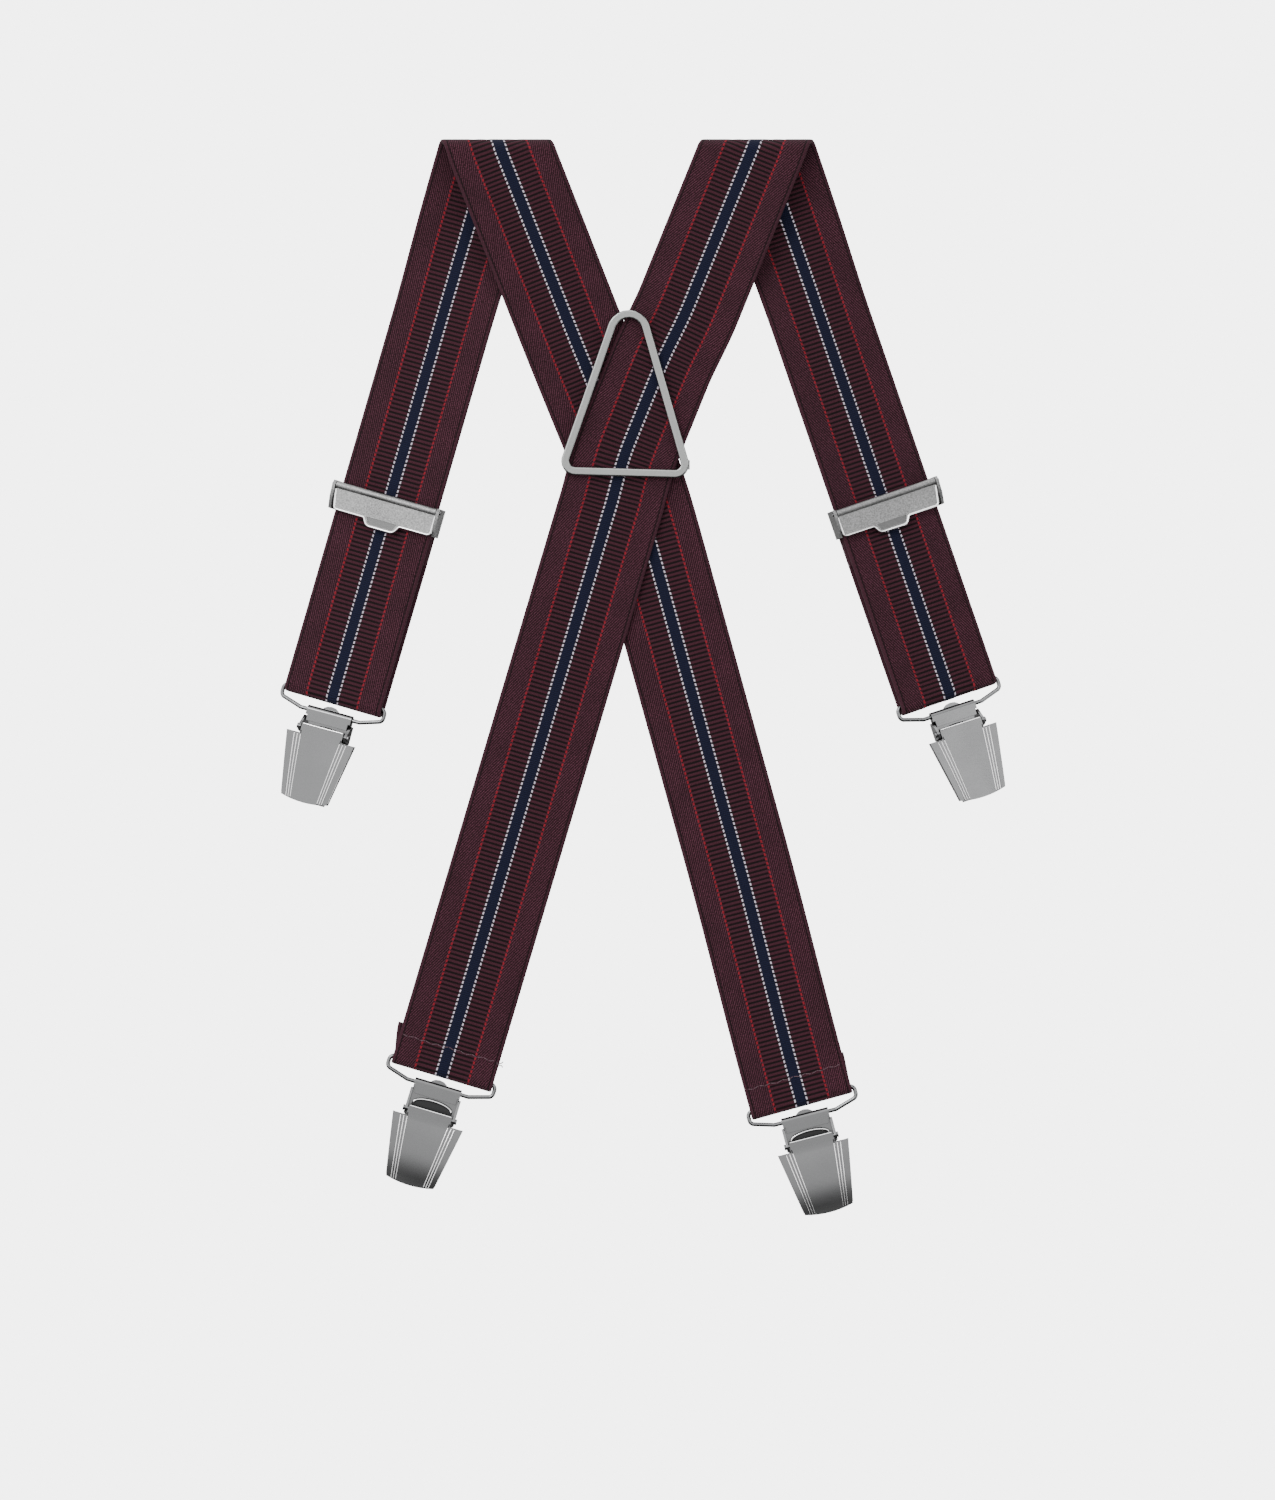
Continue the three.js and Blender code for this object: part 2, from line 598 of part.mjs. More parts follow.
function clipLid(drop) {
  const top = LID_TOP - drop;
  const shoulder = top - LID_HINGE_V;
  const foot = shoulder - LID_LENGTH + LID_HINGE_V - 0.1;
  const span = LID_FOOT / Math.sin(2 * Math.atan(LID_ARC / LID_FOOT));
  const sweep = Math.asin(LID_FOOT / span);
  const sole = arc(0, foot + span - LID_ARC, span, -Math.PI / 2 - sweep, -Math.PI / 2 + sweep, 8);
  const plate = slab([
    [-LID_HINGE_HALF, top], [-LID_HINGE_HALF, shoulder], [-LID_SHOULDER, shoulder], ...sole,
    [LID_SHOULDER, shoulder], [LID_HINGE_HALF, shoulder], [LID_HINGE_HALF, top],
  ], LID_N, LID_N + LID_T);
  const flanges = [-1, 1].map((s) => slab([
    [s * LID_SHOULDER, shoulder], [s * LID_FOOT, foot],
    [s * (LID_FOOT - LID_FLANGE_T), foot], [s * (LID_SHOULDER - LID_FLANGE_T), shoulder],
  ], LID_N - LID_FLANGE, LID_N + LID_T / 2));
  const pinV = top - PIN_BELOW;
  const lugs = [-LID_HINGE_HALF, LID_HINGE_HALF - LUG].map((u) => profile([
    [LID_N + LID_T / 2, top], [PIN_N, pinV + LUG_R], ...arc(PIN_N, pinV, LUG_R, 0.6 * Math.PI, 1.5 * Math.PI, 6),
    [LID_N + LID_T / 2, pinV - LUG_R],
  ], u, u + LUG));
  const cuts = GROOVES.flatMap((wide, i) => [-1, 1].map((s) =>
    grooveCut(wide, GROOVES_LOW[i], shoulder + 1, foot - LID_ARC - 1, s)));
  cuts.push(rod(-LID_HINGE_HALF - 1, LID_HINGE_HALF + 1, pinV, PIN_N, PIN_R + FIT));
  return combine(plate, [...flanges, ...lugs], cuts);
}

function clipJaw(drop) {
  const crown = NECK_LOW - GAP - (drop > 0 ? 0.2 : 0.4);
  const foot = LID_TOP - drop - LID_HINGE_V - LID_LENGTH + 4 + GAP;
  const arch = (inset) => arc(0, crown - JAW_ARCH, JAW_ARCH - inset, 0, Math.PI, 10)
    .map(([u, v]) => [(u * (JAW_HALF - inset)) / (JAW_ARCH - inset), v]);
  const low = crown - JAW_ARCH;
  const plate = slab([...arch(0), [-JAW_HALF, low - 3], [-JAW_FOOT, foot], [JAW_FOOT, foot], [JAW_HALF, low - 3]],
    -JAW_T / 2, JAW_T / 2);
  if (drop === 0) return plate;
  const rim = slab([...arch(0), ...arch(JAW_RIM).reverse()], -JAW_T / 2, JAW_RIM_N);
  return combine(plate, [rim]);
}

function clipPin(drop) {
  const ear = CLIP_EAR + CLIP_EAR_T;
  const v = LID_TOP - drop - PIN_BELOW;
  const heads = [[-ear - PIN_HEAD_T - 0.05, -ear - 0.05], [ear + 0.05, ear + PIN_HEAD_T + 0.05]]
    .map(([a, b]) => rod(a, b, v, PIN_N, PIN_HEAD, 12));
  return combine(rod(-ear - 0.4, ear + 0.4, v, PIN_N, PIN_R), heads);
}

function clipNodes(name, clip) {
  const frame = loopFrame(SIDES[clip.side], clip.front, clip.turn);
  const made = { bail: bail(), body: clipBody(clip.drop), lid: clipLid(clip.drop),
    jaw: clipJaw(clip.drop), pin: clipPin(clip.drop) };
  return Object.fromEntries(Object.entries(made)
    .map(([part, g]) => [`clip_${name}_${part}`, g.applyMatrix4(frame)]));
}

// ---------- assembly ----------

const FINISH = [
  [/^strap/, "webbing"], [/^ring/, "nickel"], [/^adjuster.*pin/, "steel"], [/^adjuster/, "satin"],
  [/_(pin|jaw)$/, "steel"], [/^clip/, "chrome"],
];

function mesh(name, geometry) {
  const [, slot] = FINISH.find(([pattern]) => pattern.test(name));
  const [r, g, b, metalness, roughness] = COLOURS[slot];
  const color = new THREE.Color(r / 255, g / 255, b / 255);
  const shaded = merged(geometry).toNonIndexed();
  shaded.computeVertexNormals();
  const made = new THREE.Mesh(shaded, new THREE.MeshStandardMaterial({ color, metalness, roughness }));
  made.name = name;
  return made;
}

function build() {
  const nodes = { ...ringNodes() };
  for (const [name, side] of Object.entries(SIDES)) {
    nodes[`strap_${name}_main`] = mainStrap(side);
    nodes[`strap_${name}_hem`] = endLoop(side, false);
    nodes[`strap_${name}_lower`] = lowerStrap(side);
    nodes[`strap_${name}_end_loop`] = endLoop(side, true);
    nodes[`strap_${name}_return`] = returnStrap(side);
    nodes[`strap_${name}_tail`] = tailLoop(side);
    Object.assign(nodes, adjusterNodes(name, side));
  }
  for (const [name, clip] of Object.entries(CLIPS)) Object.assign(nodes, clipNodes(name, clip));
  const group = new THREE.Group();
  for (const [name, geometry] of Object.entries(nodes)) group.add(mesh(name, geometry));
  return group;
}

export default build();
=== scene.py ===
"""Clip-on X-back suspenders: webbing, ring, adjusters and clips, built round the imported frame."""

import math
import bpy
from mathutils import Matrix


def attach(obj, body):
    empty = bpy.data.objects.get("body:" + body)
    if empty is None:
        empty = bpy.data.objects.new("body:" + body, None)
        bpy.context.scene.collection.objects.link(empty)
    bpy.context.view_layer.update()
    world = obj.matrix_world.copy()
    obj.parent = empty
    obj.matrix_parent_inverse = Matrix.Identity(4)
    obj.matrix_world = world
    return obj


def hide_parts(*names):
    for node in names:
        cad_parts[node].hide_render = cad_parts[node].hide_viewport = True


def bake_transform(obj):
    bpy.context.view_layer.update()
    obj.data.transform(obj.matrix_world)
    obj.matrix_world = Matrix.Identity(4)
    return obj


bl_info = {
    "name": "Clip-on suspenders",
    "version": (1, 0, 0),
    "blender": (4, 5, 0),
    "location": "View3D > Sidebar > Suspenders",
    "description": "Builds striped X-back suspenders with their ring, adjusters and clips",
    "category": "Add Mesh",
}

import bmesh
import bpy
import numpy as np
from bpy.props import FloatProperty, FloatVectorProperty, IntProperty, PointerProperty
from mathutils import Matrix, Vector

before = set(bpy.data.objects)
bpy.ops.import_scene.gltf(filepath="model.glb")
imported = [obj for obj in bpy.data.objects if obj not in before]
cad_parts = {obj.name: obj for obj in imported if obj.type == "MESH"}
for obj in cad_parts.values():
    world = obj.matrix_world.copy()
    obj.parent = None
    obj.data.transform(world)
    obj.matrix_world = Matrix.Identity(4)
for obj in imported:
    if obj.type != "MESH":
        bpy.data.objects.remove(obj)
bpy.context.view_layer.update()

MM = 0.001
GAP = 0.3

# webbing path, in millimetres, as the frame has it
WIDTH = 40.0
THICK = 1.6
HALF = WIDTH / 2
LAYER = THICK + GAP
BAR_RADIUS = 3.0
FOLD_RADIUS = BAR_RADIUS + THICK / 2
FOLD_Z = -BAR_RADIUS
CROSS_Z = -128.8
CROSS_EASE = 18.0
SWAY_GAIN = 1.6
SPREAD_TOP = -15.0
SPREAD_END = -60.0
TWIST = math.radians(15)
TWIST_END = -70.0
SPLIT_DEPTH = 40.0
ANGLE_EASE = 6.0
SIDES = {
    "left": {
        "out": -1, "fold_x": -48.1, "cross_x": 1.2, "back_top": 0.392, "back_low": 0.276,
        "front": -0.289, "back_end": -370.5, "front_end": -215.6, "adjuster_z": -140.7, "layer": 1,
        "sway": (-215.0, 150.0, 1.2), "lean": 0.6,
    },
    "right": {
        "out": 1, "fold_x": 48.3, "cross_x": -2.7, "back_top": -0.405, "back_low": -0.297,
        "front": 0.343, "back_end": -359.3, "front_end": -213.9, "adjuster_z": -140.3, "layer": -1,
        "sway": (-102.0, 40.0, -1.5), "lean": -1.7,
    },
}

# ring posts, in millimetres: middle, height band and reach in front of and behind their bend
RING_X = 0.4
POST_LOW, POST_HIGH = -126.5, -121.0
POST_BEND = -1.8
POST_REACH = 23.9
POST_EXTRA = 0.25

# end loops, sewn tails and bails
LOOP_IN = 1.5
LOOP_MID = LOOP_IN + THICK / 2
LOOP_OUT = LOOP_IN + THICK
LOOP_LEG = 5.0
HEM_TAIL = 13.0
FRAME_N = -(THICK / 2 + GAP + THICK + GAP + 0.5)
TAIL_R = 0.5 + GAP + THICK / 2
TAIL_LENGTH = 14.0
TAIL_CLOSE = 2 * TAIL_R - THICK - 0.1
TAIL_V = 3.0 - 5.5 - GAP
BAIL_HALF = 21.1
BAIL_CORNER = 2.0
BAIL_SIDE = 1.2
BAIL_NECK = 9.7
BAIL_DROP = LOOP_OUT + 4.2
LID_TOP = -12.8
LID_N = 3.6
LID_RUN = 25.5
LID_SHOULDER = 4.0
LIP_R, LIP_N, LIP_HALF = 0.3, 4.2, 8.2
WIRE_R, RIDGE_R, FLANK_R, ARCH_R = 0.8, 0.19, 0.28, 0.4
LID_RIDGES = [(10.8, 7.35, 0.08), (9.5, 6.45, 0.08), (8.2, 5.55, 0.08)]
CLIPS = {
    "front_left": {"side": "left", "front": True, "turn": math.radians(1), "drop": 0.0},
    "front_right": {"side": "right", "front": True, "turn": math.radians(-1), "drop": 0.0},
    "back_left": {"side": "right", "front": False, "turn": 0.0, "drop": 3.4},
    "back_right": {"side": "left", "front": False, "turn": math.radians(-1), "drop": 2.2},
}

# sewing and the adjusters' trims: a painted highlight edge round the thumb tab and a darker plate of
# painted shade on its dish
STITCH_R = 0.16
LOOSE_END_R = 0.2
EDGE_N, EDGE_R = 2.62, 0.48
DISH_N, DISH_RISE = 2.45, 0.14

# columns round the webbing's section: distance from the middle on one face
FACE_COLUMNS = [0.0, 2.1, 2.6, 4.5, 6.5, 8.4, 10.1, 10.6, 12.6, 14.8, 17.0, 18.9, 19.7]
RIB_ZONE = (2.35, 10.35)
WEAVE = "weave"

# stage, in metres
FLOOR_RADIUS = 2.6
LAMP_AIM = (0, 0, -0.2)
LAMPS = [
    ("key_light", (-1.5, -2.2, 1.5), 1.0, 36.0),
    ("fill_light", (1.9, -2.1, 0.3), 1.2, 14.0),
    ("top_light", (0.2, 0.3, 2.0), 1.2, 14.0),
    ("rear_light", (0.8, 2.4, 1.0), 1.2, 22.0),
]
VIEW_X, VIEW_Z = 0.0044, -0.2334


# ---------- settings ----------


class SuspendersWebbing(bpy.types.PropertyGroup):
    rib_pitch: FloatProperty(
        name="Rib pitch", description="Distance from one cross rib to the next",
        default=1.73 * MM, unit="LENGTH", precision=5)
    rib_depth: FloatProperty(
        name="Rib depth", description="Depth of the groove between two ribs",
        default=0.2 * MM, unit="LENGTH", precision=5)
    rows_per_rib: IntProperty(
        name="Rows per rib", description="Mesh rows for each cross rib", default=4, min=3, max=8)
    ground: FloatVectorProperty(
        name="Ground", description="Colour of the twill edges", subtype="COLOR",
        default=(0.0083, 0.0005, 0.0019), min=0, max=1)
    speck: FloatVectorProperty(
        name="Speck", description="Light threads in the twill", subtype="COLOR",
        default=(0.068, 0.019, 0.033), min=0, max=1)
    # The rib crest and rib groove colours are one yarn in light and in shade: the crest is the lit
    # yarn, and the darker groove colour is painted shade between the ribs.
    lit_crest_yarn: FloatVectorProperty(
        name="Rib crest", description="Colour of the rib crests", subtype="COLOR",
        default=(0.029, 0.0055, 0.0110), min=0, max=1)
    # The groove colour is painted shade; the same dark colour also fills the band under the light
    # stitch line and the dark line by the selvedge.
    groove_shade_and_dark_lines: FloatVectorProperty(
        name="Rib groove", description="Colour between the ribs", subtype="COLOR",
        default=(0.0030, 0.0003, 0.0009), min=0, max=1)
    navy: FloatVectorProperty(
        name="Centre stripe", description="Colour of the middle stripe", subtype="COLOR",
        default=(0.0018, 0.0026, 0.0125), min=0, max=1)
    white: FloatVectorProperty(
        name="Light stitch", description="Colour of the light dashed lines", subtype="COLOR",
        default=(0.40, 0.36, 0.42), min=0, max=1)
    red: FloatVectorProperty(
        name="Red stitch", description="Colour of the red dashed lines", subtype="COLOR",
        default=(0.14, 0.005, 0.011), min=0, max=1)


class SuspendersMetal(bpy.types.PropertyGroup):
    edge: FloatProperty(
        name="Edge radius", description="Rounding on stamped edges", default=0.16 * MM,
        unit="LENGTH", precision=5)
    # Painted highlight: this near-white metal colours the lid ridges, flanks and lips, the jaw rims
    # and the adjusters' tab edges, so that they show as bright highlight lines; the clips' own chrome
    # is far darker.
    bright: FloatVectorProperty(
        name="Ridges", description="Colour of polished ridges and rims", subtype="COLOR",
        default=(0.92, 0.92, 0.92), min=0, max=1)
    ring: FloatVectorProperty(
        name="Ring", description="Colour of the satin ring", subtype="COLOR",
        default=(0.300, 0.305, 0.300), min=0, max=1)
    satin: FloatVectorProperty(
        name="Adjuster", description="Colour of the blasted adjusters", subtype="COLOR",
        default=(0.235, 0.235, 0.235), min=0, max=1)
    chrome: FloatVectorProperty(
        name="Clip", description="Colour of the polished clips", subtype="COLOR",
        default=(0.155, 0.156, 0.158), min=0, max=1)
    steel: FloatVectorProperty(
        name="Wire", description="Colour of wires and pins", subtype="COLOR",
        default=(0.18, 0.182, 0.185), min=0, max=1)


class SuspendersStage(bpy.types.PropertyGroup):
    distance: FloatProperty(
        name="Camera distance", description="From the webbing to the lens", default=3.0,
        unit="LENGTH")
    frame_height: FloatProperty(
        name="Frame height", description="Height of the picture at the webbing", default=0.577,
        unit="LENGTH")
    floor_drop: FloatProperty(
        name="Floor", description="Height of the floor under the hanging folds", default=-0.80,
        unit="LENGTH")
    backdrop: FloatProperty(
        name="Backdrop", description="Brightness of the surroundings", default=6.5, min=0, max=10)


# ---------- paths ----------


def smooth(x):
    t = np.clip(x, 0, 1)
    return t * t * (3 - 2 * t)


def back_x(side, z):
    d = CROSS_Z - z
    top, low = side["back_top"], side["back_low"]
    bend = side["cross_x"] + top * d + (low - top) * (d + CROSS_EASE) ** 2 / (4 * CROSS_EASE)
    middle, reach, amount = side["sway"]
    sway = amount * smooth(SWAY_GAIN * (1 - np.abs(z - middle) / reach))
    return sway + np.where(
        d < -CROSS_EASE, side["cross_x"] + top * d,
        np.where(d > CROSS_EASE, side["cross_x"] + low * d, bend))


def back_y(side, z):
    spread = smooth((SPREAD_TOP - z) / (SPREAD_TOP - SPREAD_END))
    return -FOLD_RADIUS + side["layer"] * spread * LAYER / 2


def fold_slope(side):
    return (side["back_top"] - side["front"]) / 2


def front_x0(side):
    return side["fold_x"] - fold_slope(side) * math.pi * FOLD_RADIUS


def cos_of(slope):
    return 1 / math.hypot(1, slope)


def run_frame(side, front, z, turn=0.0):
    """Local axes across, along and towards the viewer at a height of a straight run."""
    slope = side["front"] if front else side["back_low"]
    tilt = -math.atan(slope)
    run = Vector((math.sin(tilt), 0, math.cos(tilt)))
    across = Vector((math.cos(tilt), 0, -math.sin(tilt)))
    near = Vector((0, -1, 0))
    centre = Vector((float(back_x(side, z)), float(back_y(side, z)), z))
    if front:
        centre = Vector((front_x0(side) + slope * (FOLD_Z - z), FOLD_RADIUS, z))
        spin = Matrix.Rotation(side["out"] * TWIST, 3, run)
        across, near = spin @ across, spin @ near
    across = Matrix.Rotation(turn, 3, near) @ across
    run = near.cross(across)
    made = Matrix((across, run, near)).transposed().to_4x4()
    made.translation = centre
    return made


def wire_z(side, front):
    slope = side["front"] if front else side["back_low"]
    return (side["front_end"] if front else side["back_end"]) + LOOP_OUT * cos_of(slope)


def loop_frame(side, front, turn=0.0):
    made = run_frame(side, front, wire_z(side, front))
    shift = Matrix.Translation((0, 0, -LOOP_MID))
    return made @ shift @ Matrix.Rotation(turn, 4, "Z")


class HangingRun:
    """One strap laid out flat, from the foot of its back run to the foot of its front run."""

    def __init__(self, side):
        self.side = side
        foot = wire_z(side, False) + LOOP_LEG * cos_of(side["back_low"])
        toe = wire_z(side, True) + LOOP_LEG * cos_of(side["front"])
        back = np.linspace(foot - FOLD_Z, 0, 1500)
        fold = np.linspace(0, math.pi * FOLD_RADIUS, 60)[1:]
        front = np.linspace(0, FOLD_Z - toe, 900)[1:]
        self.tau = np.concatenate([back, fold, fold[-1] + front])
        self.x = np.concatenate([
            back_x(side, FOLD_Z + back), side["fold_x"] - fold_slope(side) * fold,
            front_x0(side) + side["front"] * front])
        step = np.hypot(np.diff(self.x), np.diff(self.tau))
        self.s = np.concatenate([[0], np.cumsum(step)])
        angle = np.arctan2(np.diff(self.x), np.diff(self.tau))
        middle = (self.s[1:] + self.s[:-1]) / 2
        even = np.arange(self.s[0], self.s[-1], 0.5)
        flat = np.interp(even, middle, angle)
        kernel = np.ones(2 * int(ANGLE_EASE) + 1)
        padded = np.pad(flat, len(kernel) // 2, mode="edge")
        self.even, self.angle = even, np.convolve(padded, kernel / len(kernel), mode="valid")
        self.length = float(self.s[-1])
        self.split = float(np.interp(math.pi * FOLD_RADIUS + SPLIT_DEPTH, self.tau, self.s))

    def place(self, a, s, h):
        """Points of the hung webbing for a across, s along and h off its middle plane."""
        side = self.side
        cx, ct = np.interp(s, self.s, self.x), np.interp(s, self.s, self.tau)
        angle = np.interp(s, self.even, self.angle)
        x, tau = cx + a * np.cos(angle), ct - a * np.sin(angle)
        arc_end = math.pi * FOLD_RADIUS
        phi = np.clip(tau, 0, arc_end) / FOLD_RADIUS
        z = FOLD_Z + FOLD_RADIUS * np.sin(phi) + np.minimum(tau, 0) - np.maximum(tau - arc_end, 0)
        y = -FOLD_RADIUS * np.cos(phi)
        y = np.where(tau < 0, back_y(side, z), y)
        point = np.stack([x, y, z], -1)
        normal = np.stack([np.zeros_like(phi), -np.cos(phi), np.sin(phi)], -1)
        depth = np.maximum(ct - arc_end, 0)
        twist = side["out"] * TWIST * smooth(depth / (FOLD_Z - TWIST_END))
        tilt = -math.atan(side["front"])
        axis = np.array([math.sin(tilt), 0, math.cos(tilt)])
        centre = np.stack([cx, np.full_like(cx, FOLD_RADIUS), FOLD_Z - depth], -1)
        turned = depth > 0
        for values, origin in ((point, centre), (normal, 0 * centre)):
            arm = values - origin
            c, si = np.cos(twist)[:, None], np.sin(twist)[:, None]
            along = (arm @ axis)[:, None] * axis
            spun = arm * c + np.cross(np.broadcast_to(axis, arm.shape), arm) * si + along * (1 - c)
            values[turned] = (origin + spun)[turned]
        return point + normal * h[:, None]


def polyline(points):
    """Arc length and unit normals of a planar path of (n, v) points."""
    p = np.array(points, float)
    s = np.concatenate([[0], np.cumsum(np.hypot(*np.diff(p, axis=0).T))])
    t = np.gradient(p, s, axis=0)
    t /= np.linalg.norm(t, axis=1)[:, None]
    return p, s, np.stack([t[:, 1], -t[:, 0]], -1)


def turn_of(centre, radius, start, end, steps=24):
    angles = np.radians(np.linspace(start, end, steps))
    return [(centre[0] + radius * math.cos(t), centre[1] + radius * math.sin(t)) for t in angles]


def straight(a, b, steps=12):
    return [tuple(p) for p in np.linspace(a, b, steps)]


def hem_path():
    """From the sewn end behind, down round the wire and up to the foot of the run."""
    r = LOOP_MID
    tail = [(r - (2 * r - THICK - 0.1) * (1 - float(smooth((v - 1) / 5.5))) - THICK - 0.1, v)
            for v in np.linspace(HEM_TAIL, 0.5, 40)]
    return [*tail, *turn_of((0, 0), r, 180, 360), *straight((r, 0.4), (r, LOOP_LEG))]


def return_path(side):
    """From the foot of the front run, round the wire, up behind and round the adjuster's bar."""
    r = LOOP_MID
    span = (side["adjuster_z"] - wire_z(side, True)) / cos_of(side["front"])
    top, n = span + TAIL_V, LOOP_MID + FRAME_N
    return [*straight((r, LOOP_LEG), (r, 0.4)), *turn_of((0, 0), r, 360, 180),
            *straight((-r, 0.4), (-r, LOOP_LEG)),
            *straight((-r, LOOP_LEG + 0.5), (n - TAIL_R, top - TAIL_LENGTH - 1), 60)[1:],
            *straight((n - TAIL_R, top - TAIL_LENGTH), (n - TAIL_R, top - 0.3)),
            *turn_of((n, top), TAIL_R, 180, 0),
            *[(n + TAIL_R - TAIL_CLOSE * float(smooth((depth - 3) / 5)), top - depth)
              for depth in np.linspace(0.4, TAIL_LENGTH, 40)]]


class PlanarRun:
    """A strip bent in the plane of a local frame, its path given as (n, v) points."""

    def __init__(self, points, matrix, lean=0.0):
        self.p, self.s, self.normal = polyline(points)
        self.length = float(self.s[-1])
        self.matrix = np.array(matrix)
        self.lean = lean

    def place(self, a, s, h):
        a = a + self.lean * smooth(1 - s / HEM_TAIL)
        n = np.interp(s, self.s, self.p[:, 0]) + h * np.interp(s, self.s, self.normal[:, 0])
        v = np.interp(s, self.s, self.p[:, 1]) + h * np.interp(s, self.s, self.normal[:, 1])
        local = np.stack([a, v, n, np.ones_like(a)], -1)
        return (local @ self.matrix.T)[:, :3]


# ---------- mesh helpers ----------


def mesh_object(name, bm, material, body=None):
    mesh = bpy.data.meshes.new(name)
    bm.to_mesh(mesh)
    bm.free()
    obj = bpy.data.objects.new(name, mesh)
    bpy.context.scene.collection.objects.link(obj)
    mesh.materials.append(material)
    if body:
        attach(obj, body)
    return obj


def section_columns():
    """(across, side) pairs round the webbing's section; side 1 is the outer face."""
    face = [-a for a in reversed(FACE_COLUMNS[1:])] + FACE_COLUMNS
    outer = [(a, 1.0) for a in face]
    inner = [(a, -1.0) for a in reversed(face)]
    return [*outer, (HALF, 0.45), (HALF, -0.45), *inner, (-HALF, -0.45), (-HALF, 0.45)]


def webbing(name, pieces, settings, material, twill_phase=0.0):
    """A closed strip through one or more runs, each given as (run, from, to)."""
    pitch = settings.rib_pitch / MM
    depth = settings.rib_depth / MM
    columns = section_columns()
    count = len(columns)
    total = sum(end - start for _, start, end in pieces)
    rows = max(8, round(total / (pitch / settings.rows_per_rib)))
    marks = np.linspace(0, total, rows + 1)
    bm = bmesh.new()
    bmesh.ops.create_grid(bm, x_segments=count, y_segments=rows, size=1.0)
    bm.verts.ensure_lookup_table()
    flat = np.array([v.co[:2] for v in bm.verts])
    column = np.rint((flat[:, 0] + 1) / 2 * count).astype(int) % count
    row = np.rint((flat[:, 1] + 1) / 2 * rows).astype(int)
    a = np.array([c[0] for c in columns])[column]
    face = np.array([c[1] for c in columns])[column]
    along = marks[row]
    first = pieces[0][1]
    ribbed = (np.abs(a) > RIB_ZONE[0]) & (np.abs(a) < RIB_ZONE[1])
    groove = 0.5 - 0.5 * np.cos(2 * math.pi * (along + first + twill_phase) / pitch)
    rounded = np.where(np.abs(a) > 19.5, 0.86, 1.0)
    h = face * (THICK / 2 - depth * groove * ribbed) * rounded
    point = np.zeros((len(a), 3))
    reached = 0.0
    for run, start, end in pieces:
        inside = (along >= reached - 1e-9) & (along <= reached + end - start + 1e-9)
        point[inside] = run.place(a[inside], along[inside] - reached + start, h[inside])
        reached += end - start
    for vert, p in zip(bm.verts, point):
        vert.co = Vector(p) * MM
    layer = bm.loops.layers.uv.new(WEAVE)
    across = a / WIDTH + 0.5
    length = (along + first + twill_phase) / WIDTH
    for f in bm.faces:
        f.smooth = True
        for loop in f.loops:
            i = loop.vert.index
            loop[layer].uv = (across[i], length[i])
    bmesh.ops.remove_doubles(bm, verts=bm.verts, dist=1e-7)
    bmesh.ops.holes_fill(bm, edges=[e for e in bm.edges if e.is_boundary], sides=0)
    bmesh.ops.recalc_face_normals(bm, faces=bm.faces)
    return mesh_object(name, bm, material)


def firm_normals(obj, limit=math.radians(35)):
    """Shades wide faces flat and narrow rounded edges smooth, by weighing faces by area."""
    mesh = obj.data
    bm = bmesh.new()
    bm.from_mesh(mesh)
    bm.faces.ensure_lookup_table()
    area = [f.calc_area() for f in bm.faces]
    normals = []
    for face in bm.faces:
        face.smooth = True
        for loop in face.loops:
            total = Vector((0, 0, 0))
            for near in loop.vert.link_faces:
                if near.normal.length > 0 and face.normal.length > 0 \
                        and near.normal.angle(face.normal) < limit:
                    total += near.normal * area[near.index]
            normals.append(total.normalized() if total.length > 0 else face.normal)
    bm.free()
    mesh.normals_split_custom_set([tuple(n) for n in normals])


def refined(node, material, body, settings, edge=1.0, shape=None, segments=2):
    """A merged copy of a frame node with rounded edges, which stands for it."""
    bm = bmesh.new()
    bm.from_mesh(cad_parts[node].data)
    bmesh.ops.remove_doubles(bm, verts=bm.verts, dist=3e-6)
    bmesh.ops.dissolve_limit(
        bm, angle_limit=math.radians(1.5), verts=bm.verts, edges=bm.edges,
        use_dissolve_boundaries=False)
    if shape:
        shape(bm)
    sharp = [e for e in bm.edges
             if len(e.link_faces) == 2 and e.calc_face_angle(0) > math.radians(38)]
    bmesh.ops.bevel(
        bm, geom=sharp, offset=settings.edge * edge, offset_type="OFFSET", segments=segments,
        profile=0.5, affect="EDGES", clamp_overlap=segments < 3, material=-1)
    bmesh.ops.remove_doubles(bm, verts=bm.verts, dist=2e-6)
    for f in bm.faces:
        f.smooth = True
    obj = mesh_object(node + "_metal", bm, material, body)
    firm_normals(obj)
    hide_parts(node)
    return obj


def tube(name, splines, radius, material, body, cyclic=False, resolution=4):
    """Wire or thread along point lists given in metres."""
    curve = bpy.data.curves.new(name, "CURVE")
    curve.dimensions = "3D"
    curve.bevel_depth = radius
    curve.bevel_resolution = resolution
    curve.use_fill_caps = True
    for points in splines:
        spline = curve.splines.new("POLY")
        spline.points.add(len(points) - 1)
        for target, p in zip(spline.points, points):
            target.co = (*p, 1)
        spline.use_cyclic_u = cyclic
        spline.use_smooth = True
    made = bpy.data.objects.new(name, curve)
    bpy.context.scene.collection.objects.link(made)
    curve.materials.append(material)
    mesh = bpy.data.meshes.new_from_object(made.evaluated_get(bpy.context.evaluated_depsgraph_get()))
    bpy.data.objects.remove(made)
    obj = bpy.data.objects.new(name, mesh)
    bpy.context.scene.collection.objects.link(obj)
    if not mesh.materials:
        mesh.materials.append(material)
    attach(obj, body)
    return obj


# ---------- materials ----------


